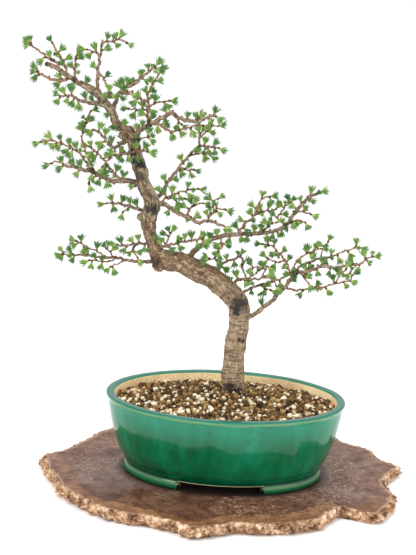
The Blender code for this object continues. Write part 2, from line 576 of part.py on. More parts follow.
def draw_needles(stem, buds, blocked, rng):
    """Draws each face round a bud out to one needle that leans to the bud's nearest direction."""
    bm = bmesh.new()
    bm.from_mesh(stem.data)
    bm.normal_update()
    grown = []
    for centre, lines in buds:
        middle = np.array([face.calc_center_median() for face in bm.faces]) / MM
        near = np.linalg.norm(middle - centre, axis=1) < 1.5 * BUD_RADIUS
        bm.faces.ensure_lookup_table()
        for index in np.flatnonzero(near):
            face = bm.faces[int(index)]
            if face.calc_area() < SMALLEST_FACE * MM * MM:
                continue
            normal = np.array(face.normal)
            best = max(lines, key=lambda line: line @ normal)
            if best @ normal < AWAY_LIMIT:
                continue
            line = best + NEEDLE_SPREAD * normal * rng.uniform(0.8, 1.2)
            line /= np.linalg.norm(line)
            root = middle[index]
            end = root + line * NEEDLE_LENGTH * rng.uniform(0.86, 1.04)
            if blocked(root + line, end):
                continue
            grown.append((face, root, end))
    for face, root, end in grown:
        peak = bmesh.ops.poke(bm, faces=[face])["verts"][0]
        peak.co = end * MM
    bm.to_mesh(stem.data)
    bm.free()
    return [(root, end) for _, root, end in grown]


def joined(name, pieces, keep_in, finish):
    """All the pieces of a collection made one body by one Boolean union, and then removed."""
    first, *others = pieces.objects
    rest = new_collection("joining")
    for other in others:
        pieces.objects.unlink(other)
        rest.objects.link(other)
    union = first.modifiers.new("union", "BOOLEAN")
    union.operation = "UNION"
    union.operand_type = "COLLECTION"
    union.collection = rest
    union.solver = "MANIFOLD"
    graph = bpy.context.evaluated_depsgraph_get()
    mesh = bpy.data.meshes.new_from_object(first.evaluated_get(graph))
    mesh.transform(first.matrix_world)
    for spent in [first, *others]:
        bpy.data.objects.remove(spent)
    bpy.data.collections.remove(rest)
    bpy.data.collections.remove(pieces)
    mesh.materials.clear()
    mesh.name = name
    return link_mesh(mesh, name, keep_in, finish)


def cut(target, cutter):
    difference = target.modifiers.new("cut " + cutter.name, "BOOLEAN")
    difference.operation = "DIFFERENCE"
    difference.object = cutter
    difference.solver = "EXACT"
    cutter.hide_render = True
    cutter.display_type = "WIRE"


def distance_between(p, q, a, b):
    """Shortest distance from segment p-q to each segment a-b, found by alternating projections."""
    d, e = q - p, b - a
    ee = np.maximum((e * e).sum(1), 1e-9)
    dd = max(d @ d, 1e-9)
    best = np.full(len(a), np.inf)
    for start in (0.0, 0.5, 1.0):
        s = np.full(len(a), start)
        for _ in range(4):
            t = np.clip(((p + s[:, None] * d - a) * e).sum(1) / ee, 0, 1)
            s = np.clip((a + t[:, None] * e - p) @ d / dd, 0, 1)
        near = np.linalg.norm(p + s[:, None] * d - a - t[:, None] * e, axis=1)
        best = np.minimum(best, near)
    return best


class Limbs:
    """Every stem's axis, in runs of (start, end, radius, node), to snap to and to keep clear of."""

    def __init__(self):
        self.starts, self.ends, self.radii, self.nodes, self.bare = [], [], [], [], []

    def add(self, path, radii, node, bare=0):
        """The first runs can be left bare, so that nothing else starts on them."""
        for i in range(len(path) - 1):
            self.bare.append(i < bare)
            self.starts.append(path[i])
            self.ends.append(path[i + 1])
            self.radii.append(max(radii[i], radii[i + 1]))
            self.nodes.append(node)

    def nearest(self, across, down, node):
        """The point of this node's axes that is seen nearest to a place in the front view."""
        eye, line = ray(across, down)
        line = line / np.linalg.norm(line)
        best = (np.inf, None)
        runs = zip(self.starts, self.ends, self.nodes, self.bare)
        for start, end, owner, bare in runs:
            if owner != node or bare:
                continue
            for t in (0, 0.25, 0.5, 0.75, 1):
                point = start + t * (end - start)
                away = np.linalg.norm(np.cross(point - eye, line))
                if away < best[0]:
                    best = (away, point)
        return best[1]

    def too_near(self, p, q, node, reach):
        others = [i for i, owner in enumerate(self.nodes) if owner != node]
        if not others:
            return False
        a = np.array([self.starts[i] for i in others])
        b = np.array([self.ends[i] for i in others])
        radii = np.array([self.radii[i] for i in others])
        return bool((distance_between(p, q, a, b) < radii + reach).any())


def make_pot(parts, cutters):
    """The oval pot: its profile turned, then drawn out lengthways; feet and drain holes are cut."""
    stretch = (POT_LENGTH - POT_WIDTH) / 2
    profile = POT_OUTSIDE + POT_INSIDE
    bm = bmesh.new()
    rings = []
    for half_width, height in profile:
        ring = []
        for k in range(POT_SIDES):
            angle = math.tau * k / POT_SIDES
            ring.append(bm.verts.new((
                (half_width + stretch) * math.cos(angle) * MM,
                half_width * math.sin(angle) * MM,
                (height + SLAB_THICKNESS + GAP) * MM,
            )))
        rings.append(ring)
    under = []
    for vert in rings[0]:
        under.append(bm.verts.new((vert.co.x, vert.co.y, (UNDERSIDE + SLAB_THICKNESS + GAP) * MM)))
    rings.insert(0, under)
    for lower, upper in zip(rings, rings[1:]):
        for k in range(POT_SIDES):
            after = (k + 1) % POT_SIDES
            bm.faces.new((lower[k], lower[after], upper[after], upper[k]))
    bm.faces.new(under[::-1])
    bm.faces.new(rings[-1])
    bmesh.ops.recalc_face_normals(bm, faces=bm.faces)
    glaze = material("green_glaze", (0.0, 0.16, 0.09), 0.12, coat=1.0)
    pot = mesh_object(bm, "pot", parts, glaze)
    bm = bmesh.new()
    bmesh.ops.create_cube(bm, size=1)
    bmesh.ops.scale(bm, verts=bm.verts, vec=(FOOT_GAP * MM, POT_WIDTH * MM, 2 * FOOT_HEIGHT * MM))
    bmesh.ops.translate(bm, verts=bm.verts, vec=(0, 0, (SLAB_THICKNESS + GAP) * MM))
    cut(pot, mesh_object(bm, "foot_gap_cutter", cutters))
    for side in (-1, 1):
        bm = bmesh.new()
        bmesh.ops.create_cone(
            bm, cap_ends=True, segments=16, radius1=DRAIN_HOLE / 2 * MM, radius2=DRAIN_HOLE / 2 * MM,
            depth=40 * MM,
        )
        centre = (side * DRAIN_SPACING / 2 * MM, 0, (SLAB_THICKNESS + FLOOR_TOP) * MM)
        bmesh.ops.translate(bm, verts=bm.verts, vec=centre)
        cut(pot, mesh_object(bm, "drain_cutter", cutters))
    return pot


def make_screens(parts):
    """A square of plastic mesh lies over each drain hole on the pot's floor."""
    plastic = material("black_mesh", (0.03, 0.03, 0.03), 0.6)
    level = SLAB_THICKNESS + FLOOR_TOP + 2 * GAP + SCREEN_THICKNESS / 2
    for side, name in ((-1, "drain_screen_left"), (1, "drain_screen_right")):
        bm = bmesh.new()
        bmesh.ops.create_grid(bm, x_segments=3, y_segments=3, size=SCREEN_SIDE / 2 * MM)
        centre = (side * DRAIN_SPACING / 2 * MM, 0, level * MM)
        bmesh.ops.translate(bm, verts=bm.verts, vec=centre)
        screen = mesh_object(bm, name, parts, plastic)
        wires = screen.modifiers.new("wires", "WIREFRAME")
        wires.thickness = SCREEN_THICKNESS * MM
        wires.use_boundary = True
        wires.use_even_offset = False


def inside_half_width(height):
    """The pot's inner half-width at a height above its feet."""
    wall = sorted([*POT_INSIDE, POT_OUTSIDE[-1]], key=lambda point: point[1])
    return float(np.interp(height, [z for _, z in wall], [r for r, _ in wall]))


def make_soil(parts, cutters, trunk_foot):
    """Granular soil that fills the pot, heaped at the trunk, with a plain hole for the trunk."""
    rng = random.Random(11)
    stretch = (POT_LENGTH - POT_WIDTH) / 2
    lift = SLAB_THICKNESS + GAP
    hole = TRUNK_LOWER[1][3] + TRUNK_HOLE_CLEAR

    def ring_at(height, half_width):
        return [
            ((half_width + stretch) * math.cos(math.tau * k / SOIL_SIDES),
             half_width * math.sin(math.tau * k / SOIL_SIDES), height + lift)
            for k in range(SOIL_SIDES)
        ]

    rings = [ring_at(FLOOR_TOP + GAP, POT_INSIDE[-1][0] - SOIL_CLEAR - GAP)]
    for height in SOIL_LEVELS:
        rings.append(ring_at(height, inside_half_width(height) - SOIL_CLEAR))
    edge = []
    for k in range(SOIL_SIDES):
        angle = math.tau * k / SOIL_SIDES
        height = np.interp(math.sin(angle), [-1, 1], [SOIL_EDGE_FRONT, SOIL_EDGE_BACK])
        width = inside_half_width(height) - SOIL_CLEAR
        edge.append(((width + stretch) * math.cos(angle), width * math.sin(angle), height + lift))
    rings.append(edge)
    for step in range(1, SOIL_RINGS + 1):
        share = step / SOIL_RINGS
        ring = []
        for k in range(SOIL_SIDES):
            angle = math.tau * k / SOIL_SIDES
            near = np.array([
                trunk_foot[0] + hole * math.cos(angle), trunk_foot[1] + hole * math.sin(angle),
                SOIL_AT_TRUNK + lift,
            ])
            far = np.array(edge[k])
            place = far + (near - far) * share
            place[2] = far[2] + (near[2] - far[2]) * share**HEAP_POWER
            if step < SOIL_RINGS:
                place[2] += GRAIN_RELIEF * rng.uniform(-1, 1)
            ring.append(tuple(place))
        rings.append(ring)
    rings.append([(x, y, z - TRUNK_HOLE_DEPTH) for x, y, z in rings[-1]])
    bm = bmesh.new()
    placed = [[bm.verts.new(np.array(point) * MM) for point in ring] for ring in rings]
    for lower, upper in zip(placed, placed[1:]):
        for k in range(SOIL_SIDES):
            after = (k + 1) % SOIL_SIDES
            bm.faces.new((lower[k], lower[after], upper[after], upper[k]))
    bm.faces.new(placed[0][::-1])
    bm.faces.new(placed[-1])
    bmesh.ops.recalc_face_normals(bm, faces=bm.faces)
    grit = material("pumice_soil", (0.28, 0.17, 0.09), 0.95)
    soil = mesh_object(bm, "soil", parts, grit)
    for side in (-1, 1):
        bm = bmesh.new()
        bmesh.ops.create_cube(bm, size=1)
        size = (SCREEN_SIDE + SCREEN_POCKET_CLEAR) * MM
        bmesh.ops.scale(bm, verts=bm.verts, vec=(size, size, SCREEN_POCKET_DEPTH * MM))
        level = (SLAB_THICKNESS + FLOOR_TOP + GAP) * MM
        bmesh.ops.translate(bm, verts=bm.verts, vec=(side * DRAIN_SPACING / 2 * MM, 0, level))
        cut(soil, mesh_object(bm, "screen_pocket_cutter", cutters))
    return soil


def make_slab(parts):
    """The display slab: a waney outline, flat below, with a rough edge that bulges at half height."""
    rng = random.Random(4)
    outline = [at_height(x, y, SLAB_THICKNESS) for x, y in SLAB_BACK]
    outline += [at_height(x, y, SLAB_FRONT_HEIGHT) for x, y in SLAB_FRONT]
    outline = np.array(outline)[:, :2]
    centre = outline.mean(0)
    bm = bmesh.new()
    rings = []
    for height, share in SLAB_LEVELS:
        ring = []
        for point in outline:
            wobble = rng.uniform(-SLAB_WOBBLE, SLAB_WOBBLE)
            place = centre + (point - centre) * (share + wobble)
            ring.append(bm.verts.new((place[0] * MM, place[1] * MM, height * MM)))
        rings.append(ring)
    count = len(outline)
    for lower, upper in zip(rings, rings[1:]):
        for k in range(count):
            after = (k + 1) % count
            bm.faces.new((lower[k], lower[after], upper[after], upper[k]))
    bm.faces.new(rings[0][::-1])
    bm.faces.new(rings[-1])
    bmesh.ops.recalc_face_normals(bm, faces=bm.faces)
    return mesh_object(bm, "display_slab", parts, material("burl_wood", (0.2, 0.11, 0.08), 0.55))


def swung(points, swing, start, start_depth):
    """A limb's or twig's places in space: from its start its depth eases out to the swing."""
    places = [start]
    steps = [math.dist(a, b) for a, b in zip(points, points[1:])]
    total = sum(steps)
    gone = 0.0
    for (across, down), step in zip(points[1:], steps):
        gone += step
        share = gone / total
        eased = EVEN_SWING * share + (1 - EVEN_SWING) * share**SWING_POWER
        places.append(at_depth(across, down, start_depth + swing * eased))
    return np.array(places)


def tapered(path, first, last):
    share = np.linspace(0, 1, len(path))
    return first + (last - first) * share


def limb_cut(path, limbs):
    """How many points of the limb's path lie in the trunk's wood or within its collar."""
    for i in range(1, len(path) - 2):
        if not limbs.too_near(path[i], path[i + 1], "limb", COLLAR_CLEAR):
            return i
    return 1


def make_tree(parts):
    """The wood, and each spray beyond its collar, kept clear of every other stem and needle."""
    bark = material("larch_bark", (0.2, 0.13, 0.09), 0.9)
    foliage = material("larch_spray", (0.12, 0.25, 0.05), 0.7)
    rng = random.Random(7)
    limbs = Limbs()
    wood = new_collection("wood")
    for trace, sides, step in ((TRUNK_LOWER, 10, 16), (TRUNK_UPPER, 8, 14)):
        places = np.array([[*at_depth(x, y, depth), radius] for x, y, depth, radius in trace])
        path = rounded(places, step)
        tube(path[:, :3], path[:, 3], sides, wood)
        limbs.add(path[:, :3], path[:, 3], "larch_wood")
    foot = at_depth(*TRUNK_LOWER[0][:3])
    below = foot - np.array([0, 0, TRUNK_FOOT_DEPTH])
    above = foot + np.array([0, 0, 2.0])
    tube(np.array([above, below]), [TRUNK_LOWER[0][3], TRUNK_FOOT_RADIUS], 12, wood)
    for across, down, depth, radius in BURRS:
        place = at_depth(across, down, depth)
        ball(place, radius, wood)
        limbs.add([place, place + 0.01], [radius, radius], "larch_wood")

    stems = {}
    for name, spray in SPRAYS.items():
        first, last, swing, points = spray["limb"]
        start = limbs.nearest(*points[0], "larch_wood")
        path = rounded(swung(points, swing, start, start[1]), LIMB_STEP)
        keep = limb_cut(path, limbs)
        end = path[keep]
        line = path[keep + 1] - path[keep - 1]
        line /= np.linalg.norm(line)
        radius = first
        collar = np.vstack([path[:keep], end - COLLAR_SHOULDER * line, end])
        flare = np.linspace(COLLAR_FLARE, 1, len(collar))
        flare[-2:] = 1
        tube(collar, radius * flare, 6, wood)
        near = [end + step * line for step in ROOT_STEPS]
        beyond = np.vstack([near, path[keep + 1 :]])
        stems[name] = [(beyond, tapered(beyond, first, last), 6 if first > THICK_LIMB else 4)]
        stems[name][0][1][:2] = radius
        limbs.add(collar, radius * flare, "larch_wood")
        limbs.add(beyond, stems[name][0][1], name, bare=2)
        for first, last, swing, points in spray["twigs"]:
            start = limbs.nearest(*points[0], name)
            path = rounded(swung(points, swing, start, start[1]), TWIG_STEP)
            radii = tapered(path, first, last)
            stems[name].append((path, radii, 4))
            limbs.add(path, radii, name)

    needles = Limbs()
    joined("larch_wood", wood, parts, bark)
    for name, runs in stems.items():
        pieces = new_collection(name + " pieces")
        buds = place_buds(runs, SPRAYS[name]["tufts"])

        def blocked(p, q):
            if limbs.too_near(p, q, name, CLEARANCE):
                return True
            return bool(needles.starts) and needles.too_near(p, q, name, CLEARANCE)

        for (path, radii, sides), own in zip(runs, buds):
            path, radii = with_buds(path, radii, own)
            stem = tube(path, radii, sides, pieces)
            steps = np.linalg.norm(np.diff(path, axis=0), axis=1)
            along = np.concatenate([[0], np.cumsum(steps)])
            spots = []
            for centre, lines in own:
                spots.append((np.array([np.interp(centre, along, path[:, k]) for k in range(3)]), lines))
            for p, q in draw_needles(stem, spots, blocked, rng):
                needles.add([p, q], [0.45, 0.2], name)
        joined(name, pieces, parts, foliage)
    return foot


def place_buds(runs, tufts):
    """For each stem of a spray its buds, each with its place along it and its tufts' directions."""
    buds = [[] for _ in runs]
    sign = 1
    for across, down, tip_across, tip_down in tufts:
        eye, line = ray(across, down)
        line = line / np.linalg.norm(line)
        best = (np.inf, 0, 0.0, None)
        for number, (path, _, _) in enumerate(runs):
            steps = np.linalg.norm(np.diff(path, axis=0), axis=1)
            along = np.concatenate([[0], np.cumsum(steps)])
            first = ROOT_CLEAR if number == 0 else FIRST_BUD
            for s in np.arange(first, along[-1] - BUD_STEP - 0.1, 1.0):
                point = np.array([np.interp(s, along, path[:, k]) for k in range(3)])
                away = np.linalg.norm(np.cross(point - eye, line))
                if away < best[0]:
                    best = (away, number, s, point)
        _, number, s, point = best
        sign = -sign
        flat = at_depth(tip_across, tip_down, point[1]) - point
        lean = sign * LEAN_SHARE * math.sqrt(max(NEEDLE_LENGTH**2 - flat @ flat, 9.0))
        toward = at_depth(tip_across, tip_down, point[1] + lean) - point
        toward /= np.linalg.norm(toward)
        for bud in buds[number]:
            if abs(bud[0] - s) < BUD_APART:
                bud[1].append(toward)
                break
        else:
            buds[number].append((s, [toward]))
    return [sorted(own, key=lambda bud: bud[0]) for own in buds]


def main():
    for old in list(bpy.data.objects):
        bpy.data.objects.remove(old)
    parts = new_collection("larch_bonsai")
    cutters = new_collection("cutters")
    make_slab(parts)
    make_pot(parts, cutters)
    make_screens(parts)
    foot = make_tree(parts)
    make_soil(parts, cutters, foot)


main()
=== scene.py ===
# Larch bonsai in an oval green pot on a burl slab: the looks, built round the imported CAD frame.
# Lengths are millimetres until meshOf makes them metres; the stage and the materials are in metres.
# The dictionary above each piece's functions holds what can be changed.
import json
import math

import bpy
import numpy as np
from mathutils import Matrix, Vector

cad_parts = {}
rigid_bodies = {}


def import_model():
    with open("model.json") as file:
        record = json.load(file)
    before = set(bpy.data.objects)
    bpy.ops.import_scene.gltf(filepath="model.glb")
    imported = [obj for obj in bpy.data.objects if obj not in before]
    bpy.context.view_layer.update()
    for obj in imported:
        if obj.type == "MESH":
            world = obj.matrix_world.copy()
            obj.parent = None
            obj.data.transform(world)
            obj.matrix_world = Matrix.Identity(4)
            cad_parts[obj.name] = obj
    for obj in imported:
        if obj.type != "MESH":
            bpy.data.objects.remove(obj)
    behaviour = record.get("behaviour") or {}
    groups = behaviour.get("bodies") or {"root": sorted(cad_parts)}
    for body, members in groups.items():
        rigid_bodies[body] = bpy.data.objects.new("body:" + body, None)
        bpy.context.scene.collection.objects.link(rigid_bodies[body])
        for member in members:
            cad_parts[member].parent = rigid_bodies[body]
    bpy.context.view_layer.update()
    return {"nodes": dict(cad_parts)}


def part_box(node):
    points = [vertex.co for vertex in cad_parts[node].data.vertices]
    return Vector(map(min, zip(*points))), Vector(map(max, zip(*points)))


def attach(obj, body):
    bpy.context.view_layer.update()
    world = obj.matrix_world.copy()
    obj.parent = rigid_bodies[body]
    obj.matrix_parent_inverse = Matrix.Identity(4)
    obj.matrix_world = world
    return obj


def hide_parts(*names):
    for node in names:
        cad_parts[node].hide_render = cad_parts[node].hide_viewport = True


for old in list(bpy.data.objects):
    bpy.data.objects.remove(old)
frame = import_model()
mm = 0.001
tipShare = 0.35  # how far a stem's tip stands out, as a share of its radius

# The view: where the viewer stands and how a place in the 416 x 555 picture maps to space.
view = {
    "centre": (208.0, 277.5),  # pixel on the camera's axis
    "pixels": 967.8,  # focal length in pixels
    "distance": 1005.0,
    "tilt": math.radians(11.17),
    "roll": math.radians(2.7),
    "turn": math.radians(1.9),
    "target": (-24.5, 0.0, 222.1),
    "lens": 62.77,
}


def viewFrame():
    # Camera place and its back, right and up directions, from the view's tilt, roll and turn.
    c, s = math.cos(view["turn"]), math.sin(view["turn"])
    turn = np.array([[c, -s, 0], [s, c, 0], [0, 0, 1]])
    back = np.array([0, -math.cos(view["tilt"]), math.sin(view["tilt"])])
    rise = np.array([0, math.sin(view["tilt"]), math.cos(view["tilt"])])
    level = np.array([1.0, 0, 0])
    right = math.cos(view["roll"]) * level + math.sin(view["roll"]) * rise
    up = math.cos(view["roll"]) * rise - math.sin(view["roll"]) * level
    eye = np.array(view["target"]) + back * view["distance"]
    return turn @ eye, turn @ back, turn @ right, turn @ up


eye, backward, rightward, upward = viewFrame()


def sightLine(across, down):
    # Direction from the eye through one picture place.
    x, y = view["centre"]
    return rightward * (across - x) + upward * (y - down) - backward * view["pixels"]


def atDepth(across, down, depth):
    # The point seen at that picture place that lies this far behind the pot's centre.
    line = sightLine(across, down)
    return eye + line * (depth - eye[1]) / line[1]


def atHeight(across, down, height):
    # The point seen at that picture place that lies at this height.
    line = sightLine(across, down)
    return eye + line * (height - eye[2]) / line[2]


def makeCamera():
    data = bpy.data.cameras.new("viewer")
    data.lens = view["lens"]
    data.sensor_width = 36
    data.clip_end = 20
    camera = bpy.data.objects.new("viewer", data)
    bpy.context.scene.collection.objects.link(camera)
    axes = np.eye(4)
    axes[:3, 0], axes[:3, 1], axes[:3, 2] = rightward, upward, backward
    axes[:3, 3] = eye * mm
    camera.matrix_world = Matrix(axes.tolist())
    bpy.context.scene.camera = camera


# Mesh tools

def unit(vectors):
    return vectors / np.maximum(np.linalg.norm(vectors, axis=-1, keepdims=True), 1e-12)


def ripples(points, size, key, count=20):
    # Smooth noise near -1 to 1: the sum of sine waves in random directions, each about size long.
    rng = np.random.default_rng(key)
    waves = unit(rng.normal(size=(count, 3))) * rng.uniform(0.6, 1.7, (count, 1)) * math.tau / size
    phase = rng.uniform(0, math.tau, count)
    total = np.sin(points.reshape(-1, 3) @ waves.T + phase).sum(1)
    return (total * math.sqrt(2 / count) * 0.7).reshape(points.shape[:-1])


def smoothPath(points, step):
    # A cubic through the points, each crossed along the line between its neighbours, sampled about
    # every step mm. Columns after x, y and z, such as a radius, follow the same cubic.
    points = np.asarray(points, float)
    ends = np.vstack([2 * points[0] - points[1], points, 2 * points[-1] - points[-2]])
    runs = []
    for a, b, c, d in zip(ends, ends[1:], ends[2:], ends[3:]):
        count = max(1, round(np.linalg.norm((c - b)[:3]) / step))
        t = (np.arange(count) / count)[:, None]
        runs.append(b + 0.5 * t * (c - a + t * (2 * a - 5 * b + 4 * c - d + t * (3 * (b - c) + d - a))))
    return np.vstack(runs + [points[-1:]])


def arcLength(path):
    return np.concatenate([[0], np.cumsum(np.linalg.norm(np.diff(path, axis=0), axis=1))])


def sideAxes(lines):
    # Two unit vectors square to each line, from the world axis that the line leans on least.
    helper = np.eye(3)[np.argmin(np.abs(lines), axis=-1)]
    first = unit(np.cross(lines, helper))
    return first, np.cross(lines, first)


def carriedAxes(path):
    # As sideAxes, but carried along the path so that the sweep doesn't twist: each side is the one
    # before it, less its part along the new line.
    lines = unit(np.gradient(path, axis=0))
    first, _ = sideAxes(lines[:1])
    sides = [first[0]]
    for line in lines[1:]:
        side = sides[-1] - (sides[-1] @ line) * line
        sides.append(side / np.linalg.norm(side))
    sides = np.array(sides)
    return lines, sides, np.cross(lines, sides)


def gridFaces(rows, columns):
    # Quads between neighbouring rows, each row closed by joining its last column to its first.
    row, column = np.meshgrid(np.arange(rows - 1) * columns, np.arange(columns), indexing="ij")
    after = (column + 1) % columns
    corners = [row + column, row + after, row + columns + after, row + columns + column]
    return np.stack(corners, axis=-1).reshape(-1, 4)


def capFaces(ring, pole, flip=False):
    # Triangles from a closed ring of points to its pole.
    after = np.roll(ring, -1)
    corners = [after, ring] if flip else [ring, after]
    return np.stack([*corners, np.full(len(ring), pole)], axis=-1)


def cappedGrid(grid, poles):
    # A grid of closed rows, with its first and last rows drawn together at the two poles.
    rows, columns = grid.shape[:2]
    total = rows * columns
    first, last = np.arange(columns), np.arange(total - columns, total)
    return {
        "places": np.vstack([grid.reshape(-1, 3), poles]), "quads": gridFaces(rows, columns),
        "tris": np.vstack([capFaces(first, total, flip=True), capFaces(last, total + 1)]), "finish": 0,
    }


def repeated(faces, count, block):
    # The same faces for each of count copies, which follow each other in blocks of points.
    return (faces[None] + np.arange(count)[:, None, None] * block).reshape(-1, faces.shape[1])


def sweep(path, radii, sides, relief, tint):
    # place(s, a) = path(s) + radius(s, a) * (cos a * side + sin a * across), closed by two low tips.
    # The grain is the same stem laid out straight, so that a pattern can follow the wood.
    lines, side, across = carriedAxes(path)
    angle = np.arange(sides) / sides * math.tau
    outward = np.cos(angle)[None, :, None] * side[:, None] + np.sin(angle)[None, :, None] * across[:, None]
    along = arcLength(path)
    radius = np.repeat(radii[:, None], sides, axis=1)
    plain = path[:, None] + outward * radius[..., None]
    radius = radius + relief(plain, along[:, None], angle[None, :])
    grid = path[:, None] + outward * radius[..., None]
    laid = np.broadcast_arrays(radius * np.cos(angle), radius * np.sin(angle), along[:, None])
    straight = np.stack(laid, axis=-1)
    tips = np.stack([path[0] - lines[0] * radii[0] * tipShare, path[-1] + lines[-1] * radii[-1] * tipShare])
    part = cappedGrid(grid, tips)
    part["tint"] = np.full(len(part["places"]), tint)
    part["along"] = np.append(np.repeat(along, sides), [along[0], along[-1]])
    part["grain"] = np.vstack([straight.reshape(-1, 3), [[0, 0, along[0]], [0, 0, along[-1]]]])
    return part


def meshOf(name, parts, finishes, smooth=True):
    # One object from parts of places, quads and tris; tint and along become point attributes.
    starts = np.cumsum([0] + [len(part["places"]) for part in parts])
    places = np.concatenate([part["places"] for part in parts]) * mm
    quads, tris = (np.concatenate([part[kind] + start for part, start in zip(parts, starts)])
                   for kind in ("quads", "tris"))
    finishIndex = np.concatenate([np.full(len(part[kind]), part["finish"])
                                  for kind in ("quads", "tris") for part in parts])
    first = np.r_[np.arange(len(quads)) * 4, quads.size + np.arange(len(tris)) * 3]
    mesh = bpy.data.meshes.new(name)
    mesh.vertices.add(len(places))
    mesh.vertices.foreach_set("co", places.astype(np.float32).ravel())
    mesh.loops.add(quads.size + tris.size)
    mesh.loops.foreach_set("vertex_index", np.r_[quads.ravel(), tris.ravel()].astype(np.int32))
    mesh.polygons.add(len(first))
    mesh.polygons.foreach_set("loop_start", first.astype(np.int32))
    mesh.polygons.foreach_set("material_index", finishIndex.astype(np.int32))
    mesh.update(calc_edges=True)
    for field in ("tint", "along"):
        values = np.concatenate([part[field] for part in parts]).astype(np.float32)
        mesh.attributes.new(field, "FLOAT", "POINT").data.foreach_set("value", values)
    if "grain" in parts[0]:
        grain = [part.get("grain", np.zeros((len(part["places"]), 3))) for part in parts]
        grain = (np.concatenate(grain) * mm).astype(np.float32)
        mesh.attributes.new("grain", "FLOAT_VECTOR", "POINT").data.foreach_set("vector", grain.ravel())
    mesh.validate()
    if smooth:
        mesh.shade_smooth()
    for finish in finishes:
        mesh.materials.append(finish)
    piece = bpy.data.objects.new(name, mesh)
    bpy.context.scene.collection.objects.link(piece)
    return piece


def putIn(piece, slot, *nodes):
    # Every piece rides on the one body and stands for its CAD nodes.
    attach(piece, "root")
    if nodes:
        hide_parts(*nodes)


# Shader tools

class Field:
    # A socket that takes ordinary arithmetic: each sum or product adds its Math node.
    def __init__(self, finish, socket):
        self.finish, self.socket = finish, socket

    def maths(self, operation, *others, swap=False):
        values = [other.socket if isinstance(other, Field) else other for other in others]
        inputs = [*values, self.socket] if swap else [self.socket, *values]
        return self.finish.node("ShaderNodeMath", {"operation": operation}, dict(enumerate(inputs)))

    def __add__(self, other):
        return self.maths("ADD", other)

    def __sub__(self, other):
        return self.maths("SUBTRACT", other)

    def __rsub__(self, other):
        return self.maths("SUBTRACT", other, swap=True)

    def __mul__(self, other):
        return self.maths("MULTIPLY", other)

    __radd__, __rmul__ = __add__, __mul__

    def between(self, low, high):
        # 0 below low, 1 above high, smooth between them; the other way round where low is the higher.
        inputs = {"Value": self.socket, "From Min": low, "From Max": high}
        return self.finish.node("ShaderNodeMapRange", {"interpolation_type": "SMOOTHSTEP"}, inputs)


class Finish:
    # One material: node() adds any node, and shade() sets the shader's sockets.
    def __init__(self, name):
        self.material = bpy.data.materials.new(name)
        self.material.use_nodes = True
        self.tree = self.material.node_tree
        self.shader = self.tree.nodes["Principled BSDF"]
        self.place = self.node("ShaderNodeTexCoord", {}, {}, "Object")

    def node(self, kind, settings, inputs, output=0):
        made = self.tree.nodes.new(kind)
        for key, value in settings.items():
            if key == "stops":
                self.setStops(made.color_ramp, value)
            else:
                setattr(made, key, value)
        for key, value in inputs.items():
            self.feed(made.inputs[key], value)
        return Field(self, made.outputs[output])

    def setStops(self, ramp, stops):
        while len(ramp.elements) < len(stops):
            ramp.elements.new(0.5)
        for element, (position, colour) in zip(ramp.elements, stops):
            element.position = position
            element.color = (*colour, 1)

    def feed(self, socket, value):
        if isinstance(value, Field):
            value = value.socket
        if isinstance(value, bpy.types.NodeSocket):
            self.tree.links.new(value, socket)
        elif socket.type == "RGBA" and len(value) == 3:
            socket.default_value = (*value, 1)
        else:
            socket.default_value = value

    def attribute(self, name, output="Fac"):
        return self.node("ShaderNodeAttribute", {"attribute_name": name}, {}, output)

    def noise(self, scale, detail=4, rough=0.55, place=None, output="Fac"):
        inputs = {"Vector": place or self.place, "Scale": scale, "Detail": detail, "Roughness": rough}
        return self.node("ShaderNodeTexNoise", {}, inputs, output)

    def stretched(self, scale, place=None):
        # The place with each axis scaled, so that a pattern on it is drawn out along the small ones.
        return self.node("ShaderNodeMapping", {}, {"Vector": place or self.place, "Scale": scale})

    def ramp(self, value, stops):
        return self.node("ShaderNodeValToRGB", {"stops": stops}, {"Fac": value}, "Color")

    def mix(self, share, first, second):
        # Sockets 6 and 7 are the node's two colours, and output 2 is its colour.
        return self.node("ShaderNodeMix", {"data_type": "RGBA"}, {"Factor": share, 6: first, 7: second}, 2)

    def axis(self, name, vector=None):
        return self.node("ShaderNodeSeparateXYZ", {}, {0: vector or self.place}, name)

    def ovalReach(self, scale):
        # Distance from the object's middle, measured in an oval's own radii.
        inputs = {0: self.stretched(scale)}
        return self.node("ShaderNodeVectorMath", {"operation": "LENGTH"}, inputs, "Value")

    def near(self, centre, radius, ragged):
        # 1 at a point of the object, fading to 0 past the radius along a ragged edge.
        inputs = {0: self.place, 1: tuple(np.asarray(centre) * mm)}
        away = self.node("ShaderNodeVectorMath", {"operation": "DISTANCE"}, inputs, "Value")
        return (away * (1 / (radius * mm)) + ragged).between(1.35, 0.45)

    def bump(self, height, distance, strength):
        inputs = {"Height": height, "Distance": distance * mm, "Strength": strength}
        return self.node("ShaderNodeBump", {}, inputs, "Normal")

    def shade(self, **values):
        for key, value in values.items():
            self.feed(self.shader.inputs[key.replace("_", " ")], value)
        return self.material

# Plan of the tree and the slab: places in the picture, depths and radii in millimetres

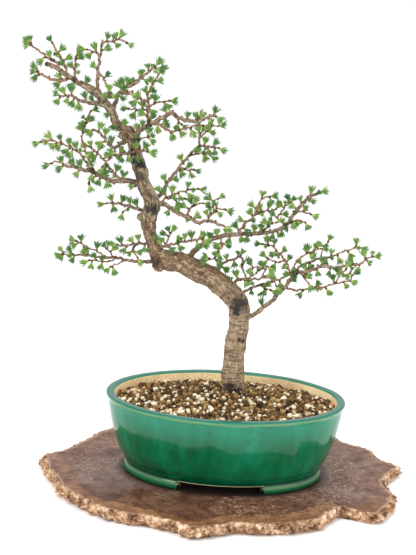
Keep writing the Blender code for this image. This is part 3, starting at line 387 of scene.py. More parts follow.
trunkLower = [
    (233, 396, 0, 12.6), (233, 388, 0, 11.6), (233, 379, 0, 11.9), (233.4, 365, 1, 11.2),
    (234.5, 350, 2, 10.9), (236.4, 338, 3, 10.8), (238.6, 326, 4, 10.6), (239.6, 312, 5, 10.7),
    (237, 302, 4, 11.2), (229.4, 292.5, 3, 11.3), (214, 279, 0, 11.2), (197, 270.5, -2, 11),
    (182, 263.5, -3, 10.6), (168, 260, -4, 11), (158, 259.5, -4, 10.6), (154.5, 259, -4, 8.4),
]
trunkUpper = [
    (160, 259, -4, 8.6), (155, 249, -4, 7), (151.6, 239, -3, 6.1), (149.6, 230, -2, 7),
    (147.8, 220, -1, 8.2), (151, 211, 0, 8.2), (151.5, 200, 1, 7.8), (147, 190, 2, 7.2),
    (142.5, 180, 3, 6.8), (140.5, 171, 4, 7), (137.6, 160, 4, 7), (134.5, 147, 3, 5.8),
    (131.5, 137, 1, 5.6), (126, 130.5, 0, 5.2), (117, 124, -1, 4.4), (113, 114, -3, 3.9),
    (108, 106.5, -4, 4.1), (100, 96, -6, 3.7), (93, 90.5, -7, 3.4), (87.5, 87, -8, 3.2),
]
burrs = [
    (159, 265.5, -5, 6.6), (141.5, 217, -2, 4.6), (124, 135, -1, 4.6), (130, 130.5, 0, 4.8),
    (137, 141, -2, 3.2), (233, 296, -8, 4), (156, 208, 1, 4.6), (190, 258, 6, 5),
]
sprays = {
    "spray_tip": {
        "limb": (3.2, 2.2, -12, [(93, 90.5), (87, 86.8), (80, 83), (72, 78.5), (65, 73.8), (58, 69),
                                 (51, 65.4), (46, 63)]),
        "twigs": [
            (1.7, 1.0, -16, [(59, 69.5), (57, 63.5), (52, 59.5), (45, 55), (38, 50), (31, 44)]),
            (1.6, 1.0, 14, [(66, 74.5), (66, 68), (62, 60), (57, 51), (53, 44)]),
            (1.6, 0.9, 22, [(76, 80.5), (74.5, 72), (75.5, 62), (76, 54)]),
            (2.3, 1.3, 10, [(70, 77.5), (64, 80), (55, 79.5), (46, 77), (38, 73)]),
        ],
        "tufts": [
            (31, 44, 28, 32), (31, 44, 21, 38), (31, 45, 20, 46), (52, 59, 47, 49), (53, 44, 48, 37),
            (61, 58, 57, 54), (66, 68, 60, 62), (64, 61, 70, 57), (73, 70, 66, 60), (77, 58, 80, 51),
            (76, 59, 88, 55), (38, 73, 32, 62), (37, 73, 25, 71), (38, 74, 29, 84), (63, 79, 58, 74),
            (62, 80, 55, 87), (76, 81, 70, 86), (84, 85, 90, 76), (45, 56, 40, 62), (58, 52, 64, 46),
        ],
    },
    "spray_crown": {
        "limb": (2.2, 1.1, 26, [(101, 98), (98, 88), (97.5, 76), (98.5, 66), (100, 56), (101.5, 48),
                                (102.5, 40)]),
        "twigs": [
            (1.3, 0.9, 10, [(100, 57), (96, 53), (88, 49.5)]),
            (1.3, 0.9, -12, [(102, 47), (104.5, 42), (112, 41), (119, 40), (126, 42.5)]),
            (1.3, 1.0, -26, [(98, 73), (103, 78), (107, 86), (109.5, 95)]),
        ],
        "tufts": [
            (97, 53, 94, 43), (93, 52, 87, 57), (88, 49.5, 79, 49), (102, 51, 108, 48),
            (106, 41.5, 109, 33), (113, 41, 119, 47), (119, 40, 123, 33), (126, 42.5, 131, 45),
            (108, 94, 109, 83), (109, 95, 118, 97), (103, 78, 109, 73), (98, 70, 92, 64),
        ],
    },
    "spray_high_left": {
        "limb": (2.5, 1.2, -34, [(106, 104), (101, 104), (92, 103), (84, 102), (77, 99), (72, 96)]),
        "twigs": [(1.2, 0.9, -10, [(73, 96.5), (67, 95.5), (61, 97)])],
        "tufts": [
            (96, 103, 90, 96), (78, 100, 79, 109), (74, 98, 71, 107), (72, 96, 71, 86),
            (66, 95.5, 62, 88), (61, 97, 55, 93), (61, 97, 56, 103), (68, 96, 66, 104),
            (86, 102, 84, 94),
        ],
    },
    "spray_high_right": {
        "limb": (2.2, 1.2, -30, [(113, 112), (116, 101), (119, 93.5), (125, 88), (133, 84), (141, 78.5),
                                 (149, 71.5), (155, 67)]),
        "twigs": [(1.2, 0.9, -16, [(120, 92), (127, 92), (132, 91)])],
        "tufts": [
            (127, 87, 129, 74), (130, 85, 136, 77), (141, 78.5, 142, 66), (142, 78, 150, 83),
            (155, 67, 160, 61), (154, 68, 166, 71), (122, 90, 117, 83), (132, 91, 135, 96),
            (119, 95, 126, 100), (125, 88, 121, 80), (117, 99, 110, 95), (149, 72, 147, 64),
        ],
    },
    "spray_knee": {
        "limb": (3.0, 1.4, -44, [(132, 138), (139, 131), (148, 126), (156, 121.5), (165, 116.5),
                                 (171, 112), (177, 117), (187, 120), (198, 121), (207, 117.5),
                                 (215, 115.5)]),
        "twigs": [
            (1.9, 1.1, 30, [(149, 125.5), (148, 115), (148.3, 104), (147.7, 96), (151, 87),
                            (155, 80), (160, 73)]),
            (1.2, 0.9, -12, [(148, 103), (141, 99), (133, 95.5), (125, 93)]),
            (1.2, 0.9, 14, [(148.5, 107), (155, 103.6), (163, 101.5), (169, 101)]),
            (1.2, 0.9, 16, [(148, 110), (140, 109.5), (130, 109)]),
            (1.3, 0.9, 6, [(176, 116.5), (179, 122), (181, 124)]),
            (1.7, 1.0, -18, [(155, 122), (163, 127.5), (170, 131), (180, 129.5), (191, 126.5),
                             (202, 126)]),
            (1.1, 0.9, -8, [(136, 133), (141, 138), (148, 137)]),
        ],
        "tufts": [
            (147, 95, 143, 86), (148, 93, 155, 89), (152, 84, 150, 74), (154, 81, 163, 80),
            (160, 73, 165, 66), (141, 99, 136, 91), (138, 98, 133, 104), (128, 94, 120, 92),
            (154, 104, 156, 96), (163, 101.5, 169, 108), (169, 101, 177, 101), (143, 110, 142, 103),
            (136, 109.5, 133, 116), (130, 109, 123, 108), (148, 116, 141, 113), (150, 121, 156, 112),
            (196, 121, 195, 110), (199, 121, 203, 113), (214, 116, 216, 109), (215, 115.5, 222, 121),
            (208, 118, 211, 125), (179, 122, 176, 129), (181, 124, 187, 128), (160, 125, 167, 121),
            (157, 123, 158, 132), (170, 131, 173, 140), (178, 130, 184, 136), (190, 127, 193, 134),
            (202, 126, 208, 127), (137, 133, 136, 122), (142, 129, 143, 120), (148, 137, 149, 129),
            (148, 137, 154, 143), (168, 114, 163, 107), (187, 120, 188, 112), (148.5, 108, 154, 113),
        ],
    },
    "spray_front": {
        "limb": (1.7, 1.0, -28, [(138, 157), (131, 153.5), (124, 154), (117, 155)]),
        "twigs": [(1.3, 0.9, -10, [(128, 153.5), (136, 151), (147, 151.5)])],
        "tufts": [
            (147, 151.5, 154, 153), (142, 151, 147, 144), (137, 152, 136, 145), (121, 154, 122, 163),
            (127, 154, 130, 163), (117, 155, 110, 152), (134, 154, 140, 161),
        ],
    },
    "spray_left": {
        "limb": (3.0, 1.6, -36, [(146, 188), (134, 181.5), (122, 180.5), (112, 180.5), (103, 177.5),
                                 (96, 173.5), (89, 171), (80, 169), (70, 166), (63, 165.5)]),
        "twigs": [
            (1.5, 0.9, -14, [(91, 171.5), (85, 160), (79, 152.5), (70, 147), (60, 143), (51, 140),
                             (42, 141)]),
            (1.6, 1.0, 24, [(94, 172.5), (90, 162), (85, 151), (82, 141), (83, 131)]),
            (1.3, 0.9, 12, [(83.5, 134), (86, 122), (90, 111)]),
            (1.6, 1.0, 44, [(122, 180.5), (113, 172), (105, 161), (97, 152.5), (90, 147)]),
            (1.1, 0.9, -8, [(99, 176), (91, 179), (89, 183)]),
            (1.1, 0.8, -4, [(65, 165.5), (59, 162), (52, 163)]),
        ],
        "tufts": [
            (82, 169, 79, 160), (76, 167.5, 71, 161), (80, 169.5, 74, 177), (64, 165.5, 57, 170),
            (63, 165, 60, 156), (52, 163, 44, 166), (42, 141, 34, 144), (53, 140.5, 46, 133),
            (58, 142, 48, 149), (62, 144, 51, 152), (62, 143, 58, 132), (70, 147, 67, 135),
            (70, 147, 63, 154), (73, 149, 68, 160), (77, 151, 75, 142), (82, 157, 90, 156),
            (83, 132, 75, 121), (83, 131, 82, 120), (86, 123, 92, 117), (84, 131, 92, 134),
            (90, 111, 100, 107), (92, 148, 89, 136), (90, 147, 81, 144), (97, 152, 101, 145),
            (95, 151, 88, 155), (97, 154, 91, 161), (104, 159, 110, 153), (108, 165, 103, 170),
            (99, 176, 108, 173), (101, 177, 97, 186), (106, 179, 108, 186), (89, 183, 92, 192),
            (92, 172, 91, 181), (115, 174, 118, 165), (86, 161, 92, 163), (122, 180.5, 124, 173),
        ],
    },
    "spray_upper_left": {
        "limb": (2.0, 1.1, -42, [(131, 139), (121, 143.5), (114, 147.5), (106, 141), (100, 133),
                                 (94, 129.5)]),
        "twigs": [(1.3, 0.9, -8, [(115, 147), (114, 153), (110, 159), (103, 165)])],
        "tufts": [
            (112, 146, 111, 135), (104, 139, 106, 131), (105, 141, 98, 144), (99, 132, 101, 123),
            (94, 129.5, 87, 132), (113, 156, 120, 158), (119, 144.5, 122, 152), (103, 165, 100, 172),
            (110, 159, 105, 153), (124, 142, 120, 134),
        ],
    },
    "spray_small_left": {
        "limb": (2.0, 1.0, 24, [(149, 213), (138, 209), (128, 205.5), (117, 203.5), (107, 203)]),
        "twigs": [(1.1, 0.8, -10, [(131, 206.5), (127, 209.5), (123, 211)])],
        "tufts": [
            (131, 206, 129, 197), (123, 211, 121, 218), (113, 203, 110, 194), (113, 203.5, 114, 211),
            (107, 203, 98, 205), (138, 209, 136, 202), (121, 204, 124, 197),
        ],
    },
    "spray_leader_right": {
        "limb": (2.0, 1.2, 36, [(152, 199), (160, 194.5), (166, 185), (173, 175), (181, 165),
                                (190, 155), (197, 147.5), (199.5, 141), (199.5, 133)]),
        "twigs": [
            (1.2, 0.9, 12, [(177, 169), (184, 170), (193, 169.5)]),
            (1.2, 0.9, 14, [(190, 155.5), (196, 154), (205, 153), (210, 155)]),
            (1.4, 0.9, -14, [(197.5, 147.5), (205, 146), (213, 147), (218, 148)]),
            (1.2, 0.9, 18, [(200, 138), (206, 132), (211, 127), (217, 125.5)]),
        ],
        "tufts": [
            (167, 183, 160, 170), (170, 180, 181, 178), (182, 163, 178, 149), (179, 169, 183, 175),
            (184, 170, 191, 164), (190, 170, 192, 178), (193, 169.5, 201, 172), (194, 154, 199, 149),
            (203, 153, 206, 160), (210, 155, 216, 160), (204, 146, 206, 138), (208, 146.5, 209, 154),
            (212, 147, 218, 140), (218, 148, 225, 151), (214, 147.5, 215, 157), (199.5, 134, 197, 125),
            (199.5, 134, 205, 127), (207, 131, 215, 133), (211, 127, 211, 119), (217, 125.5, 224, 125),
            (161, 193, 156, 185),
        ],
    },
    "spray_mid_right": {
        "limb": (2.7, 1.4, -30, [(151, 204), (162, 203.5), (169, 207), (177, 212.5), (188, 217),
                                 (198, 222), (209, 221), (223, 225)]),
        "twigs": [
            (1.3, 0.9, 30, [(163, 204), (165, 198), (174, 199), (184, 198.5)]),
            (1.3, 0.9, 20, [(165.5, 198), (175, 194.5), (184, 191), (197, 189)]),
            (1.4, 0.9, 10, [(187, 216.5), (189, 209), (196, 204), (202, 203)]),
            (1.3, 0.9, -8, [(207, 221.5), (211, 215.5), (217, 209), (224, 209.5)]),
            (1.1, 0.8, 8, [(210, 218), (211, 208), (214, 201), (218, 199)]),
        ],
        "tufts": [
            (187, 190.5, 188, 181), (197, 189, 205, 190), (185, 191, 191, 197), (172, 195.5, 172, 187),
            (166, 198, 163, 190), (175, 199, 179, 206), (184, 198.5, 191, 200), (170, 207, 167, 214),
            (194, 205, 197, 196), (189, 209, 181, 204), (202, 203, 208, 204), (209, 219, 205, 209),
            (212, 206, 216, 213), (192, 219, 200, 214), (184, 215, 190, 222), (215, 211, 222, 216),
            (217, 209, 215, 202), (224, 209.5, 230, 211), (213, 202, 207, 196), (218, 199, 226, 194),
            (181, 214, 176, 206), (223, 225, 229, 229), (178, 193.5, 182, 201),
        ],
    },
    "spray_back_right": {
        "limb": (2.9, 1.8, 46, [(186, 262), (191, 254.5), (200, 246), (210, 240), (221, 236), (234, 234.5),
                                (249, 234), (262, 233), (274, 231), (285, 226), (292, 216.5),
                                (301, 205), (309.5, 197), (318, 193)]),
        "twigs": [
            (1.9, 1.0, 26, [(238, 234), (244, 224), (253, 216.5), (257, 208), (263, 198),
                            (269, 196.5)]),
            (1.3, 0.9, 20, [(286, 225), (278, 218), (283, 209), (290, 203)]),
            (1.2, 0.9, -20, [(287, 223.5), (296, 220), (305, 222)]),
            (1.2, 0.9, 18, [(254, 215), (262, 212), (275, 209.5)]),
            (1.2, 0.9, -22, [(262, 233), (268, 226), (276, 222)]),
            (1.2, 0.9, -24, [(220, 236.5), (222, 245), (219, 251)]),
            (1.1, 0.9, -22, [(296, 211.5), (303, 212), (310, 214)]),
        ],
        "tufts": [
            (310, 196.5, 312, 186), (309, 198, 316, 203), (318, 193, 326, 191), (302, 204, 299, 195),
            (310, 214, 317, 217), (304, 212, 306, 204), (305, 222, 309, 229), (297, 220, 293, 228),
            (290, 203, 287, 195), (290, 203, 296, 197), (284, 208, 278, 202), (278, 218, 271, 213),
            (280, 214, 287, 214), (269, 196.5, 277, 195), (262, 199, 263, 190), (256, 209, 250, 203),
            (253, 216, 249, 209), (262, 212, 259, 205), (268, 211, 270, 203), (275, 209.5, 279, 205),
            (246, 222, 239, 219), (240, 231, 233, 222), (243, 227, 247, 231), (204, 243.5, 201, 231),
            (208, 241, 211, 229), (216, 238, 217, 226), (226, 235.5, 226, 225), (231, 234.5, 228, 243),
            (240, 234, 242, 241), (247, 234, 247, 244), (253, 234, 255, 225), (222, 244, 230, 246),
            (219, 251, 219, 259), (222, 243, 214, 246), (200, 246, 207, 246), (266, 232, 268, 240),
            (274, 231, 272, 241), (281, 228.5, 283, 238), (276, 222, 283, 220), (268, 226, 262, 219),
            (288, 222, 285, 231), (298, 209, 292, 206),
        ],
    },
    "spray_front_mid": {
        "limb": (1.7, 1.0, -34, [(155, 249), (162, 247), (172, 244.5), (182, 242), (192, 240.5),
                                 (202, 239)]),
        "twigs": [(1.2, 0.9, 12, [(165, 246), (168, 240), (170, 234)])],
        "tufts": [
            (175, 243.5, 181, 237), (177, 243, 183, 251), (192, 240.5, 191, 231), (198, 240, 204, 233),
            (202, 239, 209, 242), (185, 241.5, 185, 232), (170, 234, 166, 225), (170, 234, 175, 227),
            (169, 237, 161, 231), (163, 247, 158, 240), (167, 245.5, 173, 250), (196, 240, 198, 248),
        ],
    },
    "spray_front_left": {
        "limb": (1.6, 1.0, -30, [(152, 243), (145, 244), (138, 243.5), (128, 245.5), (118, 245.5)]),
        "twigs": [(1.2, 0.9, -12, [(136, 244), (133, 250), (137, 257)])],
        "tufts": [
            (134, 244, 129, 237), (139, 243.5, 138, 235), (118, 245.5, 110, 243), (128, 245.5, 122, 252),
            (133, 250, 126, 256), (137, 257, 140, 264), (134, 252, 142, 253), (145, 244, 144, 252),
            (122, 245.8, 120, 238),
        ],
    },
    "spray_low_left": {
        "limb": (1.9, 1.0, 30, [(158, 259.5), (148, 261.5), (138, 261.5), (127, 260), (116, 257.5),
                                (108, 258), (100, 257.5), (88, 255.5), (75, 254.5), (63, 254)]),
        "twigs": [
            (1.2, 0.9, -16, [(117, 257.7), (109, 261), (99, 261), (90, 260)]),
            (1.2, 0.9, 12, [(108, 257.7), (99, 252), (88, 247.5), (76, 241)]),
            (1.1, 0.8, -12, [(126, 259.8), (118, 263), (111, 266)]),
            (1.1, 0.8, -14, [(113, 257.5), (110, 252), (107, 249)]),
        ],
        "tufts": [
            (92, 260.5, 91, 269), (90, 260, 82, 263), (96, 261, 93, 254), (64, 254, 59, 247),
            (63, 254, 52, 256), (64, 254, 58, 262), (74, 254.5, 67, 248), (75, 254.5, 71, 262),
            (77, 241.5, 69, 240), (76, 241, 65, 236), (81, 244, 81, 235), (84, 246, 84, 254),
            (79, 242.5, 71, 247), (102, 261, 101, 269), (111, 266, 106, 271), (112, 265.5, 115, 273),
            (107, 249, 102, 243), (107, 249, 109, 241), (110, 252, 116, 247), (88, 255.5, 87, 248),
            (97, 251, 97, 243),
        ],
    },
    "spray_low_loop": {
        "limb": (1.6, 1.0, 20, [(215, 280), (220, 268), (225, 261.5), (233, 259), (240, 257.5),
                                (243.5, 262), (242.5, 269), (245, 275)]),
        "twigs": [(1.1, 0.8, -16, [(222, 264.5), (217, 259.5), (210, 259)])],
        "tufts": [
            (243.5, 262, 250, 257), (240, 257.5, 244, 250), (226, 261, 226, 252), (214, 259, 218, 251),
            (210, 259, 202, 262), (210, 259, 203, 255), (216, 259.5, 220, 266), (245, 275, 248, 283),
            (221, 266, 227, 270), (233, 259, 235, 267),
        ],
    },
    "spray_low_tangle": {
        "limb": (1.7, 1.0, -26, [(225, 290), (233, 283), (242, 279), (250, 278.5), (257, 279.5),
                                 (264, 277)]),
        "twigs": [
            (1.2, 0.8, 14, [(261, 278), (265, 271), (267, 266)]),
            (1.1, 0.8, -8, [(265.5, 270), (259, 267.5), (253, 267)]),
            (1.1, 0.8, 12, [(248, 278.5), (252, 276), (256, 274)]),
            (1.1, 0.8, -6, [(263, 277.5), (272, 279), (276, 285)]),
        ],
        "tufts": [
            (253, 267, 249, 261), (253, 267, 250, 274), (263, 268.5, 259, 261), (267, 266, 272, 271),
            (256, 274, 260, 268), (265, 276.5, 271, 274), (244, 279, 247, 285), (237, 281, 236, 273),
            (230, 285.5, 229, 277), (276, 285, 279, 292), (252, 276, 248, 269),
        ],
    },
    "spray_low_middle": {
        "limb": (1.7, 1.0, 24, [(232, 298), (243, 293), (252, 287.5), (261, 284), (270, 282.5),
                                (279, 279.5), (288, 275.5)]),
        "twigs": [(1.1, 0.8, -14, [(259, 284.5), (264, 288), (270, 290)])],
        "tufts": [
            (262, 286.5, 269, 284), (270, 290, 276, 293), (288, 275.5, 294, 270), (279, 279.5, 281, 288),
            (272, 282, 272, 274), (252, 287.5, 251, 296), (265, 288.5, 261, 295),
        ],
    },
    "spray_low_right": {
        "limb": (2.7, 1.4, -30, [(240, 321), (250, 316.5), (261, 309.5), (270, 302), (278, 294.5),
                                 (285.5, 286), (291, 278), (297, 273), (310, 271), (322, 266),
                                 (334, 268), (345, 265.5), (355, 264.5)]),
        "twigs": [
            (1.5, 0.9, -16, [(285, 286.5), (296, 290), (310, 288.5), (323, 287), (334, 284),
                             (346, 281.5), (352, 277), (351, 271)]),
            (1.4, 0.9, 4, [(354, 264.6), (361, 264), (366, 259), (372, 257)]),
            (1.6, 0.9, 26, [(297, 273), (300, 266), (309, 262), (320, 258.5), (333, 256), (346, 251),
                            (358, 246.5)]),
            (1.6, 0.9, 34, [(292, 277), (287, 264), (280, 254), (272, 246), (263, 244)]),
            (1.2, 0.8, 10, [(285, 260.5), (276, 261.5), (268, 258.5)]),
            (1.3, 0.8, -18, [(293, 276), (295, 264), (303, 256), (313, 251), (321, 249)]),
            (1.1, 0.8, 14, [(321, 258.3), (323, 250), (328, 242)]),
            (1.1, 0.8, -12, [(336, 283.7), (339, 276.5), (345, 270)]),
            (1.1, 0.8, -10, [(299, 272.5), (304, 278), (308, 283)]),
        ],
        "tufts": [
            (303, 290, 297, 298), (314, 288, 321, 280), (325, 287, 331, 295), (334, 284, 332, 274),
            (340, 275.5, 336, 268), (345, 270, 349, 262), (343, 282, 348, 288), (349, 279.5, 356, 283),
            (352, 276, 359, 271), (351, 271, 346, 277), (359, 264.2, 358, 272), (366, 259, 363, 251),
            (372, 257, 378, 256), (365, 260, 371, 264), (353, 264.5, 350, 257), (342, 266, 341, 274),
            (348, 250.5, 351, 257), (356, 247, 357, 238), (358, 246.5, 364, 249), (331, 256.5, 332, 248),
            (337, 254.5, 340, 262), (263, 244, 256, 244), (268, 245, 267, 238), (274, 247.5, 275, 239),
            (280, 254, 286, 248), (277, 250.5, 271, 255), (276, 261.5, 273, 268), (268, 258.5, 262, 254),
            (269, 259, 264, 264), (287, 263, 291, 255), (307, 254, 308, 245), (309, 253, 314, 259),
            (321, 249, 327, 249), (313, 251, 317, 243), (328, 242, 332, 234), (325, 247, 317, 243),
            (302, 265, 297, 258), (309, 262, 311, 271), (303, 277, 311, 276), (308, 283, 312, 290),
            (317, 268.5, 318, 277), (322, 266, 323, 257), (330, 267.5, 329, 275), (306, 271.5, 303, 263),
            (292, 276, 284, 273), (289, 270, 283, 266), (262, 308.5, 262, 301), (327, 257.3, 325, 265),
            (315, 260.3, 313, 252), (290, 282, 296, 279),
        ],
    },
}
slabBack = [
    (400, 466), (381, 459), (369, 449), (345, 442), (330, 433), (300, 425), (262, 421), (222, 419),
    (182, 420), (145, 422), (110, 427), (88, 437), (68, 447), (48, 453),
]
slabFront = [
    (42, 464), (43, 472), (51, 483), (59, 495), (74, 505), (86, 511), (103, 518), (127, 524),
    (151, 527), (175, 533), (200, 538), (238, 533), (260, 535), (284, 534), (314, 531), (324, 527),
    (338, 517), (364, 521), (379, 523), (391, 514), (392, 502), (385, 490), (393, 479),
]

# Display slab

slab = {
    "thickness": 12.0,
    "angles": 760,
    "rings": 22,
    "ringShares": (0.04, 0.95),  # the smallest and the largest inner ring
    "brow": 0.968,  # the ring where the top ends
    "ragged": 1.5,
    "edgeRelief": 1.9,
    "topRelief": 0.4,
    # Heights on the edge, and how much of the outline's width each has
    "levels": ((0.0, 0.962), (0.7, 0.972), (1.6, 0.984), (2.6, 0.992), (3.6, 0.996), (4.6, 0.998),
               (5.6, 0.998), (6.6, 0.997), (7.6, 0.996), (8.6, 0.995), (9.6, 0.994), (10.6, 0.992),
               (11.4, 0.989), (11.85, 0.985), (12.0, 0.979)),
}


def slabOutline():
    # A closed smooth curve through the outline, resampled to equal steps of its length; each point
    # then moves out from the centre by the ragged ripples.
    points = np.array([atHeight(x, y, slab["thickness"]) for x, y in slabBack]
                      + [atHeight(x, y, 2.0) for x, y in slabFront])[:, :2]
    around = np.vstack([points[-2:], points, points[:3]])
    curve = smoothPath(np.c_[around, np.zeros(len(around))], 2.0)[:, :2]
    near = np.flatnonzero(np.linalg.norm(curve - points[0], axis=1) < 1e-6)
    curve = curve[near[0]:near[-1] + 1]
    along = arcLength(curve)
    steps = np.linspace(0, along[-1], slab["angles"] + 1)[:-1]
    outline = np.stack([np.interp(steps, along, curve[:, k]) for k in (0, 1)], axis=1)
    flat = np.c_[outline, np.zeros(len(outline))]
    ragged = np.abs(ripples(flat, 16.0, 3)) * 1.3 - 0.6 + ripples(flat, 6.0, 4) * 0.55
    centre = points.mean(0)
    return outline + unit(outline - centre) * (ragged * slab["ragged"])[:, None], centre


def makeSlab():
    # place(share, a) = centre + share * arm(a): rings grow along the underside, climb the edge and
    # shrink over the top. The edge bulges outwards in knobs, and the top dips a little.
    outline, centre = slabOutline()
    count = slab["angles"]
    arms = outline - centre
    inner = np.linspace(*slab["ringShares"], slab["rings"])
    level = np.array(slab["levels"])
    shares = np.r_[inner, level[:, 1], slab["brow"], inner[::-1]]
    heights = np.r_[0 * inner, level[:, 0], slab["thickness"], 0 * inner + slab["thickness"]]
    isEdge = np.r_[0 * inner, 0 * level[:, 0] + 1, 0, 0 * inner]
    relief = isEdge * np.sin(math.pi * np.clip(heights / slab["thickness"], 0.04, 0.9))
    places = np.zeros((len(shares), count, 3))
    places[..., :2] = centre + shares[:, None, None] * arms[None]
    places[..., 2] = heights[:, None]
    knobs = (np.abs(ripples(places, 9.0, 5)) * 1.5 - 0.7 + ripples(places, 4.5, 6) * 0.5
             + np.abs(ripples(places, 22.0, 7)) * 0.8 - 0.3)
    places[..., :2] += unit(arms)[None] * (knobs * relief[:, None] * slab["edgeRelief"])[..., None]
    dips = ripples(places, 55.0, 8) * 0.8 + ripples(places, 18.0, 9) * 0.4
    isTop = np.r_[np.zeros(len(inner) + len(level)), 1, np.ones(len(inner))]
    fade = isTop * np.clip((0.975 - shares) / 0.05, 0, 1)
    places[..., 2] += np.minimum(dips * slab["topRelief"], 0.0) * fade[:, None]
    part = cappedGrid(places, np.array([[*centre, 0.0], [*centre, slab["thickness"]]]))
    part["tint"] = np.append(np.repeat(isEdge, count), [0, 0])
    part["along"] = np.append(np.repeat(shares, count), [0, 0])
    piece = meshOf("burl_slab", [part], [burlFinish()])
    putIn(piece, "burl_wood", "display_slab")


def burlFinish():
    # Swirled heart, redder and darker to the front; sapwood and a dark line near the rim; pale flecks
    # round the pot; a painted shadow under it; a crumbly bark on the edge, its pale knobs partly a
    # painted highlight and its dark hollows partly painted shade. tint is 1 on the edge, and
    # along is the share of the way from the centre.
    burl = Finish("burl_wood")
    swirl = burl.noise(10, 4, 0.6, output="Color")
    warped = burl.node("ShaderNodeVectorMath", {"operation": "MULTIPLY_ADD"},
                       {0: swirl, 1: (0.05, 0.05, 0.05), 2: burl.place}, "Vector")
    figure = burl.noise(60, 6, 0.72, place=warped)
    flecks = burl.noise(1.0, 5, 0.72, place=burl.stretched((520, 170, 300), warped))
    clouds = burl.noise(13, 3, 0.55, place=warped)
    patches = burl.noise(24, 4, 0.6)
    share = burl.attribute("along") + (clouds - 0.5) * 0.3 + (patches - 0.5) * 0.08
    front = 1 - burl.axis("Y").between(-0.092, -0.04)
    heart = burl.ramp(figure, [
        (0.32, (0.06, 0.024, 0.017)), (0.43, (0.118, 0.058, 0.042)), (0.53, (0.195, 0.113, 0.088)),
        (0.66, (0.305, 0.2, 0.158)),
    ])
    red = burl.mix(patches.between(0.5, 0.57) * (0.45 + front * 0.45), heart, (0.095, 0.026, 0.015))
    grey = burl.mix(clouds.between(0.47, 0.4) * 0.5, red, (0.2, 0.14, 0.135))
    warm = burl.mix(front * 0.75, grey, burl.ramp(figure, [(0.36, (0.046, 0.013, 0.006)),
                                                           (0.62, (0.165, 0.064, 0.028))]))
    sap = burl.ramp(figure, [(0.32, (0.105, 0.04, 0.016)), (0.5, (0.205, 0.084, 0.034)),
                             (0.68, (0.34, 0.165, 0.08))])
    zoned = burl.mix(share.between(0.84, 0.88) * (0.3 + front * 0.6), warm, sap)
    line = share.between(0.825, 0.85) * (1 - share.between(0.86, 0.885))
    lined = burl.mix(line * (0.15 + front * 0.5), zoned, (0.06, 0.022, 0.014))
    strands = burl.noise(1.0, 4, 0.75, place=burl.stretched((150, 620, 300), warped))
    around = 1 - burl.ovalReach((6.4, 8.8, 0)).between(0.85, 1.25)
    fibrous = patches.between(0.46, 0.54) * (0.1 + around * 0.9)
    tufts = (flecks.between(0.54, 0.64) * 0.6 + strands.between(0.53, 0.62) * 0.8) * fibrous
    flecked = burl.mix(tufts, lined, (0.52, 0.35, 0.23))
    pitted = burl.mix(flecks.between(0.4, 0.31) * 0.6, flecked, (0.045, 0.018, 0.013))
    rimmed = burl.mix(burl.attribute("along").between(0.955, 0.975) * 0.7, pitted, (0.52, 0.36, 0.23))
    # Painted shadow: the slab darkens to near black in an oval under the pot.
    under = 1 - burl.ovalReach((8.5, 13.3, 0)).between(0.88, 1.02)
    paintedShadow = burl.mix(under * 0.94, rimmed, (0.01, 0.007, 0.006))
    lumps = burl.noise(75, 5, 0.66, place=warped)
    crumbs = burl.noise(240, 4, 0.7)
    # The edge's pale knobs and dark hollows follow the same lumps as its bump: partly the edge's own
    # crumbly colour, partly a painted highlight on the knobs and painted shade in the hollows.
    bark = burl.ramp(lumps * 0.6 + crumbs * 0.4, [
        (0.36, (0.04, 0.018, 0.01)), (0.43, (0.15, 0.07, 0.036)), (0.49, (0.38, 0.205, 0.112)),
        (0.55, (0.66, 0.44, 0.28)), (0.63, (0.9, 0.74, 0.56)),
    ])
    edge = burl.attribute("tint").between(0.35, 0.8)
    colour = burl.mix(edge, paintedShadow, bark)
    height = (figure * 0.3 + flecks * 0.35) * (1 - edge) + edge * (lumps * 2.2 + crumbs * 1.1)
    return burl.shade(Base_Color=colour, IOR=1.33, Roughness=0.46 + edge * 0.36 + figure * 0.1,
                      Normal=burl.bump(height, 1.1, 0.8))


# Pot

pot = {
    "stretch": 37.0,
    "lift": 12.3,
    "sides": 200,
    "footGap": 88.0,
    "footHeight": 8.8,
    "warp": 0.18,
    # Profiles as half-width and height above the feet
    "under": [(0.0, 9.7), (30.0, 9.7), (56.0, 9.6), (59.0, 9.1), (59.8, 4.5)],
    "outside": [
        (60.0, 0.0), (62.0, 0.0), (67.4, 0.0), (68.6, 0.4), (69.3, 1.6), (69.4, 3.0), (69.1, 4.8),
        (68.3, 6.8), (67.3, 8.2), (66.8, 9.1), (66.9, 10.2), (67.8, 12.0), (70.2, 15.6),
        (73.0, 20.0), (76.4, 28.0), (79.6, 37.5), (82.2, 47.0), (84.2, 56.0), (86.1, 66.0),
        (87.4, 74.0), (88.0, 77.6), (88.7, 80.0), (89.4, 81.6), (89.9, 82.8), (89.9, 83.6),
        (89.3, 84.3), (88.3, 84.6), (85.5, 84.6), (83.0, 84.5), (81.9, 84.2),
    ],
    "inside": [
        (81.1, 83.5), (80.6, 82.0), (79.0, 70.0), (77.0, 56.0), (74.2, 43.0), (71.0, 31.0),
        (67.0, 21.0), (64.5, 17.0), (60.0, 15.5), (30.0, 15.5), (0.0, 15.5),
    ],
}


def ovalPlaces(halfWidth, height, angles):
    # x = (half-width + stretch) * cos a, y = half-width * sin a, z = height above the feet + lift,
    # where the lift is the slab's thickness and a little more.
    return np.stack([
        (halfWidth + pot["stretch"]) * np.cos(angles), halfWidth * np.sin(angles),
        height + pot["lift"] + 0 * angles,
    ], axis=-1)


def footCut():
    # The angle from the oval's long axis at which its foot is cut.
    footHalfWidth = 68.0
    return math.acos(pot["footGap"] / 2 / (footHalfWidth + pot["stretch"]))


